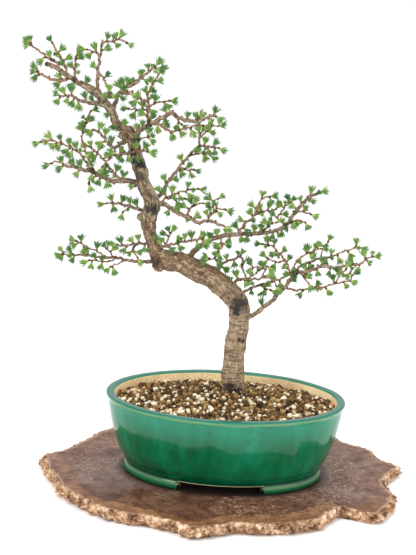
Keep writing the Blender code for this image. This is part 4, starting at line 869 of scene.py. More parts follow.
def potAngles():
    # Even angles, with a close pair at each of the four ends of the cut foot.
    close = 0.006
    ends = np.array([side * (footCut() + step) + half for half in (0, math.pi)
                     for side in (-1, 1) for step in (-close, close)]) % math.tau
    even = np.arange(pot["sides"]) / pot["sides"] * math.tau
    apart = np.abs(even[:, None] - ends[None]).min(1)
    return np.sort(np.r_[even[apart > 2 * close], ends])


def makePot():
    # The profile carried round the oval; over the foot's gap, every point below the gap's height
    # rises to it. tint is 1 on bare clay.
    angles = potAngles()
    under, outside, inside = (smoothProfile(pot[part]) for part in ("under", "outside", "inside"))
    profile = np.array(under + outside + inside)
    places = ovalPlaces(profile[:, :1], profile[:, 1:], angles[None])
    folded = np.minimum(angles % math.pi, math.pi - angles % math.pi)
    ceiling = pot["footHeight"] + pot["lift"]
    raised = (folded > footCut())[None] & (places[..., 2] < ceiling)
    places[..., 2] = np.where(raised, ceiling - 0.1, places[..., 2])
    places[..., 2] += ripples(places, 70.0, 21) * pot["warp"] * (profile[:, 1:] > 20)
    row = np.arange(len(profile))[:, None]
    bare = (row < len(under) + 2) | (row >= len(under) + len(outside) + 1)
    bare = np.repeat(bare, len(angles), axis=1) | raised
    part = {
        "places": places.reshape(-1, 3), "quads": gridFaces(len(profile), len(angles)),
        "tris": np.zeros((0, 3), int), "finish": 0,
        "tint": bare.ravel() * 1.0, "along": np.repeat(profile[:, 1], len(angles)),
    }
    piece = meshOf("glazed_pot", [part], [glazeFinish()])
    putIn(piece, "green_glaze", "pot")


def smoothProfile(points):
    # A smooth curve through the profile's points, about every 1.1 mm.
    curve = smoothPath(np.c_[np.array(points), np.zeros(len(points))], 1.1)[:, :2]
    return [tuple(point) for point in curve]


def glazeFinish():
    # Heights in metres: the glaze is lighter to the top, partly thinner and partly a painted reflection;
    # pale over the shoulder where it thins, with a painted highlight there; a painted highlight along the
    # foot's upper edge; darker in the groove; the inside and the cut foot are bare clay.
    glaze = Finish("green_glaze")
    height = glaze.axis("Z")
    pool = glaze.noise(16, 4, 0.55)
    mottle = glaze.noise(75, 5, 0.6)
    streaks = glaze.noise(1.0, 4, 0.6, place=glaze.stretched((60, 60, 8)))
    body = glaze.ramp(pool * 0.5 + streaks * 0.5, [
        (0.34, (0.0, 0.06, 0.02)), (0.46, (0.0, 0.1, 0.036)), (0.56, (0.0, 0.145, 0.06)),
        (0.7, (0.0, 0.2, 0.104)),
    ])
    # Lighter towards the top: partly thinner glaze, partly a painted reflection.
    upper = height.between(0.058, 0.094)
    body = glaze.mix(upper * (0.3 + streaks * 0.5), body, (0.02, 0.3, 0.18))
    deep = glaze.mix(mottle.between(0.54, 0.72) * 0.3, body, (0.0, 0.05, 0.022))
    wave = (pool - 0.5) * 0.004
    level = height + wave
    # Pale band over the shoulder: partly thin glaze, partly a painted highlight.
    shoulder = level.between(0.0915, 0.0938) * (1 - level.between(0.0946, 0.0958))
    # Darker in the groove above the foot.
    groove = height.between(0.0196, 0.021) * (1 - height.between(0.0225, 0.025))
    # Pale band along the foot's upper edge: a painted highlight.
    footEdge = level.between(0.0165, 0.0185) * (1 - level.between(0.02, 0.0207))
    thinAndHighlit = glaze.mix(shoulder * (0.2 + mottle * 0.7), deep, (0.26, 0.4, 0.19))
    footed = glaze.mix(1 - height.between(0.0195, 0.0205), thinAndHighlit, (0.004, 0.11, 0.036))
    highlitFoot = glaze.mix(footEdge * (0.3 + mottle * 0.5), footed, (0.11, 0.25, 0.095))
    dark = glaze.mix(groove * 0.8, highlitFoot, (0.0, 0.026, 0.012))
    rim = glaze.mix(height.between(0.0957, 0.0966) * 0.85, dark, (0.0, 0.105, 0.075))
    grit = glaze.noise(420, 3, 0.6)
    clay = glaze.ramp(grit * 0.5 + mottle * 0.5, [(0.34, (0.66, 0.43, 0.2)), (0.48, (0.88, 0.65, 0.36)),
                                                  (0.62, (0.96, 0.82, 0.52))])
    mossy = glaze.mix((pool * 0.5 + mottle * 0.5).between(0.53, 0.6) * 0.35, clay, (0.42, 0.4, 0.13))
    bare = glaze.attribute("tint").between(0.3, 0.7)
    colour = glaze.mix(bare, rim, mossy)
    return glaze.shade(Base_Color=colour, IOR=1.41, Roughness=0.05 + pool * 0.08 + bare * 0.75,
                       Normal=glaze.bump(pool * 0.7 + mottle * 0.12 + bare * grit * 0.25, 0.4, 0.5))


def screenFinish():
    # A fine square weave with dusty specks.
    screen = Finish("black_mesh")
    weave = screen.node("ShaderNodeTexChecker", {}, {"Vector": screen.place, "Scale": 700.0}, "Fac")
    specks = screen.noise(900, 3, 0.6)
    colour = screen.mix(weave * 0.7 + specks * 0.2, (0.01, 0.01, 0.011), (0.05, 0.05, 0.052))
    return screen.shade(Base_Color=colour, Roughness=0.5 + specks * 0.25,
                        Normal=screen.bump(weave, 0.3, 0.6))


# Soil

soil = {
    # Heights above the pot's feet
    "edgeFront": 81.0,
    "edgeBack": 74.0,
    "atTrunk": 91.0,
    "wallHeights": (16.2, 31.0, 56.0),
    "wallGap": 0.9,
    "edgeGap": 0.8,
    "footRadius": 6.0,
    "bedDrop": 1.6,  # how far the bed lies below its grains
    "sides": 160,
    "rings": 50,
    "grains": 2150,
    "smallest": 1.05,
    "largest": 3.0,
    "key": 11,
}


def insideHalfWidth(height):
    # The half-width of the pot's inner wall at this height.
    wall = sorted(pot["inside"], key=lambda point: (point[1], point[0]))
    return np.interp(height, [z for _, z in wall], [r for r, _ in wall])


def soilPlace(share, angle):
    # The wall's oval at the soil's edge, drawn in to the trunk's foot as share goes from 0 to 1,
    # while the height goes from the edge's to the trunk's as share ** 1.15.
    edge = np.interp(np.sin(angle), [-1, 1], [soil["edgeFront"], soil["edgeBack"]])
    width = insideHalfWidth(edge) - soil["edgeGap"]
    far = np.stack([(width + pot["stretch"]) * np.cos(angle), width * np.sin(angle)], axis=-1)
    foot = atDepth(*trunkLower[0][:3])[:2]
    near = foot + soil["footRadius"] * np.stack([np.cos(angle), np.sin(angle)], axis=-1)
    flat = far + (near - far) * share[..., None]
    height = edge + (soil["atTrunk"] - edge) * share ** 1.15 + pot["lift"]
    return np.concatenate([flat, height[..., None]], axis=-1)


def rockForm():
    # A ball of 42 points and 80 faces: an icosahedron with each edge halved.
    golden = (1 + 5 ** 0.5) / 2
    corners = unit(np.array([
        (-1, golden, 0), (1, golden, 0), (-1, -golden, 0), (1, -golden, 0),
        (0, -1, golden), (0, 1, golden), (0, -1, -golden), (0, 1, -golden),
        (golden, 0, -1), (golden, 0, 1), (-golden, 0, -1), (-golden, 0, 1),
    ], float))
    faces = np.array([
        (0, 11, 5), (0, 5, 1), (0, 1, 7), (0, 7, 10), (0, 10, 11), (1, 5, 9), (5, 11, 4),
        (11, 10, 2), (10, 7, 6), (7, 1, 8), (3, 9, 4), (3, 4, 2), (3, 2, 6), (3, 6, 8),
        (3, 8, 9), (4, 9, 5), (2, 4, 11), (6, 2, 10), (8, 6, 7), (9, 8, 1),
    ])
    edges = np.sort(np.concatenate([faces[:, [0, 1]], faces[:, [1, 2]], faces[:, [2, 0]]]), axis=1)
    pairs, index = np.unique(edges, axis=0, return_inverse=True)
    middle = unit(corners[pairs].mean(1))
    ab, bc, ca = index.reshape(3, -1) + len(corners)
    a, b, c = faces.T
    trios = ((a, ab, ca), (b, bc, ab), (c, ca, bc), (ab, bc, ca))
    split = np.concatenate([np.stack(trio, axis=1) for trio in trios])
    return np.vstack([corners, middle]), split


def turnMatrices(spin):
    # One rotation matrix for each unit quaternion w, x, y, z.
    w, x, y, z = spin.T
    return np.stack([
        np.stack([1 - 2 * (y * y + z * z), 2 * (x * y - w * z), 2 * (x * z + w * y)], axis=-1),
        np.stack([2 * (x * y + w * z), 1 - 2 * (x * x + z * z), 2 * (y * z - w * x)], axis=-1),
        np.stack([2 * (x * z - w * y), 2 * (y * z + w * x), 1 - 2 * (x * x + y * y)], axis=-1),
    ], axis=1)


def soilBed():
    # The wall's oval at a few heights, then rings drawn in over the top, which ripples a little.
    angle = np.arange(soil["sides"]) / soil["sides"] * math.tau
    shares, angles = np.meshgrid(np.linspace(0, 1, soil["rings"]), angle, indexing="ij")
    top = soilPlace(shares, angles)
    top[..., 2] -= soil["bedDrop"]
    top[..., 2] += ripples(top, 9.0, 31) * 0.8 + ripples(top, 30.0, 32) * 0.8
    heights = soil["wallHeights"]
    wall = [ovalPlaces(insideHalfWidth(height) - soil["wallGap"], height, angle) for height in heights]
    grid = np.concatenate([np.array(wall), top])
    bed = cappedGrid(grid, np.array([[0, 0, heights[0] + pot["lift"]], top[-1].mean(0)]))
    bed["tint"] = np.full(len(bed["places"]), 0.06)
    bed["along"] = np.ones(len(bed["places"]))
    return bed


def makeSoil():
    # Each grain is the rock form, bumped, stretched and turned its own way, lying on the bed. tint
    # picks its colour: pumice is white, more of it to the front, and the rest are browns.
    rng = np.random.default_rng(soil["key"])
    form, faces = rockForm()
    count = soil["grains"]
    spread = np.sqrt(rng.uniform(0, 1, count))
    turn = rng.uniform(0, math.tau, count)
    base = soilPlace(1 - spread * 0.985, turn)
    size = soil["smallest"] + (soil["largest"] - soil["smallest"]) * rng.uniform(0, 1, count) ** 1.7
    front = np.clip((25 - base[:, 1]) / 90, 0, 1) * np.clip((90 - base[:, 0]) / 120, 0.35, 1)
    white = 0.11 + 0.3 * front * np.clip(0.8 + ripples(base, 22.0, 33), 0, 1.6)
    pick = rng.uniform(0, 1, count)
    tint = np.where(pick < white, rng.uniform(0.84, 1.0, count), rng.uniform(0.0, 0.55, count))
    tint = np.where((pick > white) & (pick < white + 0.06), rng.uniform(0.68, 0.76, count), tint)
    base[:, 2] += size * rng.uniform(-0.55, 0.42, count)
    turned = turnMatrices(unit(rng.normal(size=(count, 4))))
    stretch = rng.uniform(0.72, 1.25, (count, 1, 3))
    bumpy = 1 + 0.16 * rng.normal(size=(count, len(form), 1)).clip(-1.8, 1.8)
    rocks = np.einsum("nij,nkj->nki", turned, form[None] * bumpy * stretch)
    grains = {
        "places": (rocks * size[:, None, None] + base[:, None]).reshape(-1, 3),
        "quads": np.zeros((0, 4), int), "tris": repeated(faces, count, len(form)), "finish": 0,
        "tint": np.repeat(tint, len(form)), "along": np.zeros(count * len(form)),
    }
    piece = meshOf("pumice_bed", [soilBed(), grains], [soilFinish()], smooth=False)
    putIn(piece, "pumice_soil", "soil")


def soilFinish():
    # Colour by each grain's tint; the bed between them, where along is 1, has cells of its own.
    grit = Finish("pumice_soil")
    pores = grit.noise(900, 4, 0.65)
    patches = grit.noise(260, 4, 0.6)
    bed = grit.attribute("along")
    cells = {"Vector": grit.place, "Scale": 360.0}
    crumb = grit.axis("X", grit.node("ShaderNodeTexVoronoi", {}, cells, "Color"))
    hollow = grit.node("ShaderNodeTexVoronoi", {}, cells, "Distance")
    colour = grit.ramp(grit.attribute("tint") * (1 - bed) + bed * crumb * 0.6, [
        (0.00, (0.04, 0.02, 0.009)), (0.2, (0.095, 0.051, 0.02)), (0.36, (0.2, 0.114, 0.04)),
        (0.5, (0.37, 0.235, 0.085)), (0.6, (0.52, 0.35, 0.13)), (0.67, (0.54, 0.23, 0.07)),
        (0.75, (0.64, 0.44, 0.21)), (0.82, (0.8, 0.69, 0.45)), (1.00, (0.96, 0.9, 0.72)),
    ])
    shaded = grit.mix(patches.between(0.42, 0.64) * 0.35, colour, (0.055, 0.027, 0.013))
    dusty = grit.mix(pores.between(0.54, 0.74) * 0.3, shaded, (0.5, 0.36, 0.22))
    return grit.shade(Base_Color=dusty, IOR=1.3, Roughness=0.86 + pores * 0.12,
                      Normal=grit.bump(pores * 0.6 + patches - bed * hollow * 3.0, 0.6, 0.9))


# Wood

wood = {
    "step": 1.6,
    "sides": 48,
    "limbSides": 14,
    "footDepth": 14.0,
    "footRadius": 8.0,
    "flare": 0.55,
    "flareLength": 5.0,
    "collarLap": 3.0,
    "relief": {"lower": 0.75, "upper": 0.85, "foot": 1.0, "burr": 0.7, "collar": 0.3},
    "key": 7,
}
# Tufts on the trunk itself: foot and tip in the picture.
trunkTufts = [
    (105, 100, 108, 95), (111, 112, 104, 117), (116, 122, 112, 130), (122, 128, 126, 118),
    (136, 186, 129, 187), (133, 141, 141, 136), (153, 240, 160, 232), (152, 247, 145, 253),
]


def barkRelief(depth, key):
    # Lumps, drawn-out ridges and cross rings: each a sum of sine waves over the stem's surface.
    def relief(plain, along, angle):
        lumps = ripples(plain, 17.0, key) * 0.7 + np.abs(ripples(plain, 8.0, key + 3)) * 0.6 - 0.3
        drawn = np.broadcast_arrays(np.cos(angle) * 9, np.sin(angle) * 9, along * 0.28)
        ridges = ripples(np.stack(drawn, axis=-1), 4.2, key + 1) * 0.3
        rings = np.sin(along * 1.25 + 2.2 * ripples(plain, 10.0, key + 2)) * 0.14
        return (lumps + ridges + rings) * depth
    return relief


def tracedStem(trace, step):
    # The smooth path and radii of a traced stem, each of its places at its own depth.
    places = np.array([[*atDepth(x, y, depth), radius] for x, y, depth, radius in trace])
    path = smoothPath(places, step)
    return path[:, :3], path[:, 3]


def makeWood():
    # The trunk is two swept stems, a foot that narrows into the soil, and knobs for its burrs; each
    # limb's collar is a sweep whose radius is 1 + flare * exp(-length / flareLength) times the limb's.
    relief, parts = wood["relief"], []
    for trace, part, key in ((trunkLower, "lower", 41), (trunkUpper, "upper", 51)):
        path, radii = tracedStem(trace, wood["step"])
        parts.append(sweep(path, radii, wood["sides"], barkRelief(relief[part], key), 0.0))
    down = np.linspace(0, 1, 12)[:, None] * np.array([0.0, 0, -wood["footDepth"]])
    narrowing = np.linspace(trunkLower[0][3], wood["footRadius"], 12)
    foot = atDepth(*trunkLower[0][:3])
    parts.append(sweep(down + foot, narrowing, wood["sides"], barkRelief(relief["foot"], 41), 0.0))
    for number, (across, down, depth, radius) in enumerate(burrs):
        parts.append(knob(atDepth(across, down, depth), radius, 61 + number))
    for name in sprays:
        path, radii = limbPath(name)
        along = arcLength(path)
        reach = min(len(path) - 1, int(np.searchsorted(along, collarLength(name)))) + 1
        flared = radii[:reach] * (1 + wood["flare"] * np.exp(-along[:reach] / wood["flareLength"]))
        parts.append(sweep(path[:reach], flared, wood["limbSides"], barkRelief(relief["collar"], 71), 0.35))
    parts += trunkShoots()
    piece = meshOf("larch_trunk", parts, [barkFinish(), twigMaterial, needleMaterial])
    putIn(piece, "larch_bark", "larch_wood")


def trunkShoots():
    # Spurs and tufts that grow from the trunk's own bark, on the side that the view shows.
    rng = np.random.default_rng(wood["key"])
    tufts = np.array(trunkTufts, float)
    feet, toward = [], []
    for x, y, tipX, tipY in tufts:
        axis, radius = nearestOn(x, y, trunkStems())
        line = unit(eye - axis)
        foot = atDepth(x, y, axis[1]) + line * radius * 0.55
        tip = atDepth(tipX, tipY, foot[1] - 3.0)
        feet.append(foot)
        toward.append(unit(tip - foot))
    feet, toward = np.array(feet), np.array(toward)
    shoots = [spurs(feet, toward, np.full(len(feet), 1.1), 0.9),
              needles(feet + toward * leaf["spurLength"] * 0.6, toward, np.full(len(feet), 0.9), rng)]
    for part, finish in zip(shoots, (1, 2)):
        part["finish"] = finish
    return shoots


def knob(centre, radius, key):
    # A ball as a sweep along z, whose radius is that of the circle at each height, roughened.
    share = np.cos(np.linspace(math.pi * 0.97, math.pi * 0.03, 22))
    path = centre + share[:, None] * np.array([0, 0, radius])
    return sweep(path, radius * np.sqrt(1 - share ** 2), 28, barkRelief(wood["relief"]["burr"], key), 0.5)


def collarLength(name):
    # How far the trunk's own wood covers a limb: to where the limb enters its CAD spray's box, and
    # a lap more.
    lowest, highest = (np.array(corner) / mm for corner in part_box(name))
    path, _ = limbPath(name)
    outside = np.maximum(lowest - path, path - highest).max(1) > 0.5
    first = int(np.argmin(outside)) if not outside.all() else 0
    return arcLength(path)[first] + wood["collarLap"]


def barkFinish():
    # Banded and sunlit low on the trunk, reddish at the bend, furrowed and olive higher up; heights
    # are in metres. Dark patches lie at the places below.
    bark = Finish("larch_bark")
    height = bark.axis("Z")
    grain = bark.attribute("grain", "Vector")
    fibres = bark.noise(1.0, 5, 0.68, place=bark.stretched((330, 330, 60), grain))
    cracks = bark.noise(1.0, 4, 0.6, place=bark.stretched((190, 190, 55), grain))
    bands = bark.noise(1.0, 4, 0.62, place=bark.stretched((60, 60, 420), grain))
    plates = bark.noise(270, 5, 0.72)
    patches = bark.noise(42, 4, 0.55)
    fine = bark.noise(520, 4, 0.65)
    low = 1 - height.between(0.195, 0.225)
    high = height.between(0.245, 0.29)
    form = fibres * (0.35 + high * 0.35) + plates * (0.65 - high * 0.35)
    base = bark.ramp(form, [(0.34, (0.045, 0.028, 0.018)), (0.42, (0.165, 0.104, 0.064)),
                            (0.5, (0.345, 0.24, 0.15)), (0.58, (0.51, 0.39, 0.25)),
                            (0.68, (0.74, 0.62, 0.44))])
    red = bark.mix(height.between(0.2, 0.225) * (1 - high) * plates.between(0.62, 0.42) * 0.55,
                   base, (0.215, 0.1, 0.055))
    olive = bark.mix(high * patches.between(0.45, 0.6) * 0.5, red, (0.5, 0.44, 0.29))
    sunlit = bark.mix(low * 0.45, olive, (0.6, 0.44, 0.28))
    banded = bark.mix(bands.between(0.51, 0.57) * (0.2 + low * 0.5), sunlit, (0.12, 0.078, 0.052))
    specks = bark.noise(430, 4, 0.72)
    banded = bark.mix(specks.between(0.53, 0.6) * 0.38, banded, (0.085, 0.054, 0.036))
    pale = bark.mix(fibres.between(0.57, 0.66) * (1 - high * 0.1) * 0.42, banded, (0.68, 0.58, 0.43))
    edge = cracks.between(0.455, 0.49) * (1 - cracks.between(0.5, 0.535))
    split = bark.mix(edge * (0.3 + high * 0.5) * (1 - low * 0.5), pale, (0.06, 0.036, 0.024))
    colour, ragged, depth = split, (bark.noise(190, 5, 0.72) - 0.5) * 3.2, 0.72 + plates * 0.45
    for spot, radius, shade in barkPatches:
        colour = bark.mix(bark.near(atDepth(*spot), radius, ragged) * depth, colour, shade)
    rise = fibres * (0.6 + high) + plates * 1.5 + fine * 0.5 - bands * low * 1.2 - edge * 0.7 - specks * 0.8
    return bark.shade(Base_Color=colour, IOR=1.3, Roughness=0.74 + fine * 0.2,
                      Normal=bark.bump(rise, 1.3, 1.0))


# Dark patches of bark: place in the picture and depth, radius, colour.
barkPatches = [
    ((239, 304, -7), 10, (0.05, 0.048, 0.042)), ((235, 311, -6), 6, (0.04, 0.038, 0.034)),
    ((239, 339.5, -7), 2.8, (0.03, 0.024, 0.02)),
    ((244, 341, -6), 2.8, (0.03, 0.024, 0.02)), ((133, 162.5, -3), 4.5, (0.022, 0.023, 0.024)),
    ((139, 163.5, -3), 5, (0.022, 0.023, 0.024)), ((145, 164.5, -3), 4.5, (0.022, 0.023, 0.024)),
    ((151, 209, -7), 7, (0.04, 0.036, 0.032)), ((141, 176, -4), 6, (0.09, 0.07, 0.055)),
    ((229, 389, -11), 8, (0.04, 0.026, 0.02)), ((237, 391, -11), 7, (0.04, 0.026, 0.02)),
    ((136.5, 141, -4), 4, (0.03, 0.02, 0.016)), ((154, 262, -12), 8, (0.07, 0.046, 0.036)),
    ((133, 152, -3), 4, (0.045, 0.032, 0.026)),
]


# Sprays: limbs, twigs, spurs and needles

leaf = {
    "needles": 32,
    "length": 8.5,
    "width": 0.42,
    "spread": 0.46,
    "bend": 0.1,
    "lean": 0.55,
    "spurRadius": 1.25,
    "spurLength": 2.2,
    "spurSides": 7,
    "spurStep": 5.5,
    "kink": 0.55,
    "kinkLength": 7.0,
    "stemStep": 1.3,
    "stemSides": 10,
    "stemRelief": 0.22,
    "limbShare": 0.92,  # a drawn stem's radius as a share of its CAD one
    "twigShare": 0.78,
    "knotFade": 2.2,
    "key": 5,
}
# Share of the bare spurs along each spray's twigs that carry a small tuft of their own.
fullness = {
    "spray_back_right": 0.45, "spray_low_right": 0.25, "spray_mid_right": 0.2, "spray_left": 0.2,
    "spray_front_mid": 0.3, "spray_front_left": 0.3, "spray_knee": 0.2, "spray_low_left": 0.1,
}
# Dark knots on the twigs: place in the picture, and radius.
knots = [
    (149, 124, 5), (125, 88, 3), (150, 125, 4), (92, 173, 5), (191, 156, 3), (198, 147, 3), (193, 206, 3),
    (262, 229, 5), (243, 264.5, 2.5), (259, 286.5, 3), (133, 247, 3), (46, 63, 3), (52, 60, 3), (74, 79, 3),
    (88, 183, 4), (285, 225, 4), (176, 116, 3), (260, 213, 3), (168, 184, 3), (297, 273, 4),
]


def swungPath(points, swing, start):
    # From its start, depth eases out to the swing: 0.35 of it evenly and 0.65 as share ** 1.6; then
    # each axis adds its own small kinks, which fade in over kinkLength.
    flat = np.array(points, float)
    share = arcLength(flat) / arcLength(flat)[-1]
    depth = start[1] + swing * (0.35 * share + 0.65 * share ** 1.6)
    places = np.array([start] + [atDepth(x, y, d) for (x, y), d in zip(flat[1:], depth[1:])])
    path = smoothPath(places, leaf["stemStep"])
    kinks = np.stack([ripples(path, leaf["kinkLength"], leaf["key"] + axis) for axis in range(3)], axis=1)
    fade = np.clip(arcLength(path) / leaf["kinkLength"], 0, 1)[:, None]
    return path + kinks * leaf["kink"] * fade


def nearestOn(across, down, stems):
    # The place on these stems' axes that lies closest to the line of sight, and the radius there.
    line = unit(sightLine(across, down))
    places = np.concatenate([path for path, _ in stems])
    away = np.linalg.norm(np.cross(places - eye, line), axis=1)
    best = np.argmin(away)
    return places[best], np.concatenate([radii for _, radii in stems])[best]


def trunkStems():
    return [tracedStem(trace, 1.0) for trace in (trunkLower, trunkUpper)]


def limbPath(name):
    # The limb's swung path from the trunk, with a radius that falls evenly along it.
    first, last, swing, points = sprays[name]["limb"]
    start, _ = nearestOn(*points[0], trunkStems())
    path = swungPath(points, swing, start)
    return path, np.linspace(first, last, len(path))


def stemsOf(name):
    # The limb and its twigs, each starting on the nearest earlier stem.
    stems = [limbPath(name)]
    for first, last, swing, points in sprays[name]["twigs"]:
        start, _ = nearestOn(*points[0], stems)
        path = swungPath(points, swing, start)
        stems.append((path, np.linspace(first, last, len(path))))
    return stems


def tuftsOn(stems, tufts):
    # Each tuft's foot on its stem, and its direction: towards its tip in the view, leaning to the
    # viewer or away by the length that the view doesn't show.
    feet, toward = [], []
    for number, (x, y, tipX, tipY) in enumerate(tufts):
        place, _ = nearestOn(x, y, stems)
        flat = atDepth(tipX, tipY, place[1]) - place
        hidden = math.sqrt(max(leaf["length"] ** 2 - flat @ flat, 9.0))
        lean = (1 if number % 2 else -1) * leaf["lean"] * hidden
        feet.append(place)
        toward.append(unit(atDepth(tipX, tipY, place[1] + lean) - place))
    return np.array(feet), np.array(toward)


def spurs(feet, lines, size, tint):
    # Short shoots as whole arrays: place = foot + line * t + radius(t) * (cos a * side + sin a * across).
    profile = np.array([(-0.3, 0.9), (0.25, 1.0), (0.6, 0.92), (0.88, 0.62), (1.0, 0.2)])
    sides = leaf["spurSides"]
    angle = np.arange(sides) / sides * math.tau
    side, across = sideAxes(lines)
    out = np.cos(angle)[:, None] * side[:, None] + np.sin(angle)[:, None] * across[:, None]
    t, radius = profile.T[:, None, :, None, None]
    size = size[:, None, None, None]
    along = t * lines[:, None, None] * size * leaf["spurLength"]
    around = radius * out[:, None] * size * leaf["spurRadius"]
    grid = feet[:, None, None] + along + around
    count, block = len(feet), len(profile) * sides
    last, step = block - sides, np.arange(1, sides - 1)
    caps = np.stack([last + 0 * step, last + step, last + step + 1], axis=1)
    return {
        "places": grid.reshape(-1, 3), "quads": repeated(gridFaces(len(profile), sides), count, block),
        "tris": repeated(caps, count, block), "finish": 0,
        "tint": np.full(count * block, tint), "along": np.full(count * block, 0.5),
    }


def needles(feet, lines, size, rng):
    # Blades of three faces: centre(t) = foot + d * L * t + bend * L * t ** 2, with a width that
    # swells and ends bluntly; d fans round the tuft's line, and the outer blades curve outwards.
    count = leaf["needles"]
    total = len(feet) * count
    side, across = sideAxes(lines)
    turn = rng.uniform(0, math.tau, (len(feet), count, 1))
    tip = leaf["spread"] * rng.uniform(0.02, 1, (len(feet), count, 1)) ** 0.6
    out = np.cos(turn) * side[:, None] + np.sin(turn) * across[:, None]
    d = (np.cos(tip) * lines[:, None] + np.sin(tip) * out).reshape(total, 3)
    reach = rng.uniform(0.8, 1.05, (len(feet), count, 1)) * size[:, None, None]
    reach *= rng.uniform(0.8, 1.18, (len(feet), 1, 1))
    length = (leaf["length"] * reach).reshape(total, 1)
    bend = unit(rng.normal(size=(total, 3))) * leaf["bend"] + (out * tip * 0.22).reshape(total, 3)
    root = (feet[:, None] + out * np.sin(tip) * leaf["spurRadius"] * 0.8).reshape(total, 3)
    t = np.array([0.0, 0.35, 0.72, 0.95])
    fat = np.array([0.6, 1.0, 0.95, 0.55])
    straight, curl = d * length, bend * length
    centres = root[:, None] + straight[:, None] * t[:, None] + curl[:, None] * (t ** 2)[:, None]
    ends = root + straight + curl
    first, second = sideAxes(d)
    angle = rng.uniform(0, math.tau, (total, 1)) + np.arange(3) / 3 * math.tau
    ring = np.cos(angle)[..., None] * first[:, None] + np.sin(angle)[..., None] * second[:, None]
    width = leaf["width"] * rng.uniform(0.85, 1.15, (total, 1, 1, 1))
    grid = centres[:, :, None] + ring[:, None] * (fat[:, None, None] * width)
    blade = len(t) * 3 + 1  # points in one blade: its rings of three and its tip
    places = np.concatenate([grid.reshape(total, blade - 1, 3), ends[:, None]], axis=1)
    tris = np.vstack([capFaces(np.arange(blade - 4, blade - 1), blade - 1), [(0, 2, 1)]])
    along = np.append(np.repeat(t, 3), 1.0)
    tint = np.repeat(rng.uniform(0, 1, len(feet)), count) * 0.75 + rng.uniform(0, 0.25, total)
    return {
        "places": places.reshape(-1, 3), "quads": repeated(gridFaces(len(t), 3), total, blade),
        "tris": repeated(tris, total, blade), "finish": 1,
        "tint": np.repeat(tint, blade), "along": np.tile(along, total),
    }


def alongStems(stems, rng):
    # Places for bare spurs: about every spurStep mm along each stem, each turned its own way.
    places, lines, sizes, shares = [], [], [], []
    for path, radii in stems:
        along = arcLength(path)
        at = np.arange(leaf["spurStep"] * 0.6, along[-1] - 1.5, leaf["spurStep"])
        at = np.clip(at + rng.uniform(-2, 2, len(at)), 1.5, along[-1])
        pick = np.searchsorted(along, at).clip(1, len(path) - 1)
        ahead = unit(np.gradient(path, axis=0))[pick]
        side, across = sideAxes(ahead)
        turn = rng.uniform(0, math.tau, (len(at), 1))
        out = np.cos(turn) * side + np.sin(turn) * across
        places.append(path[pick] + out * radii[pick][:, None] * 0.6)
        lines.append(unit(out + 0.45 * ahead + [0, 0, 0.25]))
        sizes.append(radii[pick])
        shares.append(at / along[-1] + (0 if path is not stems[0][0] else -0.35))
    return [np.concatenate(found) for found in (places, lines, sizes, shares)]


def darkness(path, marks):
    # 1 at a dark knot or where a twig starts, fading over a few millimetres.
    start = np.exp(-arcLength(path) / leaf["knotFade"])
    near = [np.exp(-(np.linalg.norm(path - place, axis=1) / radius) ** 4) for place, radius in marks]
    return np.max([start * 0.8, *near], axis=0)


def makeSpray(name):
    # Swept limb and twigs, swollen and dark at their knots; a spur and a brush of needles at each
    # tuft and on some of the spurs along the stems; the other spurs stay bare.
    rng = np.random.default_rng([leaf["key"], *name.encode()])
    stems = stemsOf(name)
    marks = [(nearestOn(x, y, stems)[0], radius) for x, y, radius in knots]
    marks = [mark for mark, (x, y, _) in zip(marks, knots)
             if np.linalg.norm(np.cross(mark[0] - eye, unit(sightLine(x, y)))) < 3]
    parts = []
    start = collarLength(name) - wood["collarLap"]
    for number, (path, radii) in enumerate(stems):
        first = int(np.searchsorted(arcLength(path), start)) if number == 0 else 0
        path, radii = path[first:], radii[first:]
        dark = darkness(path, marks) if number else darkness(path, marks) * 0.7
        swell = 1 + 0.5 * np.clip(dark - 0.3, 0, 1) * (number > 0)
        share = leaf["twigShare"] if number else leaf["limbShare"]
        relief = twigRelief(leaf["stemRelief"], 80 + number)
        stem = sweep(path, radii * share * swell, leaf["stemSides"], relief, 0.6 if number else 0.35)
        stem["along"] = np.append(np.repeat(dark, leaf["stemSides"]), [dark[0], dark[-1]])
        parts.append(stem)
    feet, toward = tuftsOn(stems, sprays[name]["tufts"])
    place, line, size, share = alongStems(stems, rng)
    leafy = (rng.uniform(0, 1, len(place)) < fullness.get(name, 0.15)) & (share > 0.1)
    feet = np.vstack([feet + toward * 0.5, place[leafy]])
    toward = np.vstack([toward, line[leafy]])
    extent = np.r_[np.ones(len(feet) - leafy.sum()), rng.uniform(0.5, 0.8, leafy.sum())]
    parts.append(spurs(feet, toward, rng.uniform(0.85, 1.1, len(feet)) * (0.6 + 0.4 * extent), 0.9))
    parts.append(needles(feet + toward * leaf["spurLength"] * 0.7, toward, extent, rng))
    bare = ~leafy
    parts.append(spurs(place[bare], line[bare], np.clip(size[bare] * 0.5, 0.5, 0.9), 1.0))
    piece = meshOf(name.replace("spray", "foliage"), parts, [twigMaterial, needleMaterial])
    putIn(piece, "larch_spray", name)


def twigRelief(depth, key):
    # Small swellings every few millimetres, where old needles stood.
    def relief(plain, along, angle):
        return (ripples(plain, 3.2, key) * 0.6 + np.maximum(np.sin(along * 1.3 + angle), 0) * 0.4) * depth
    return relief


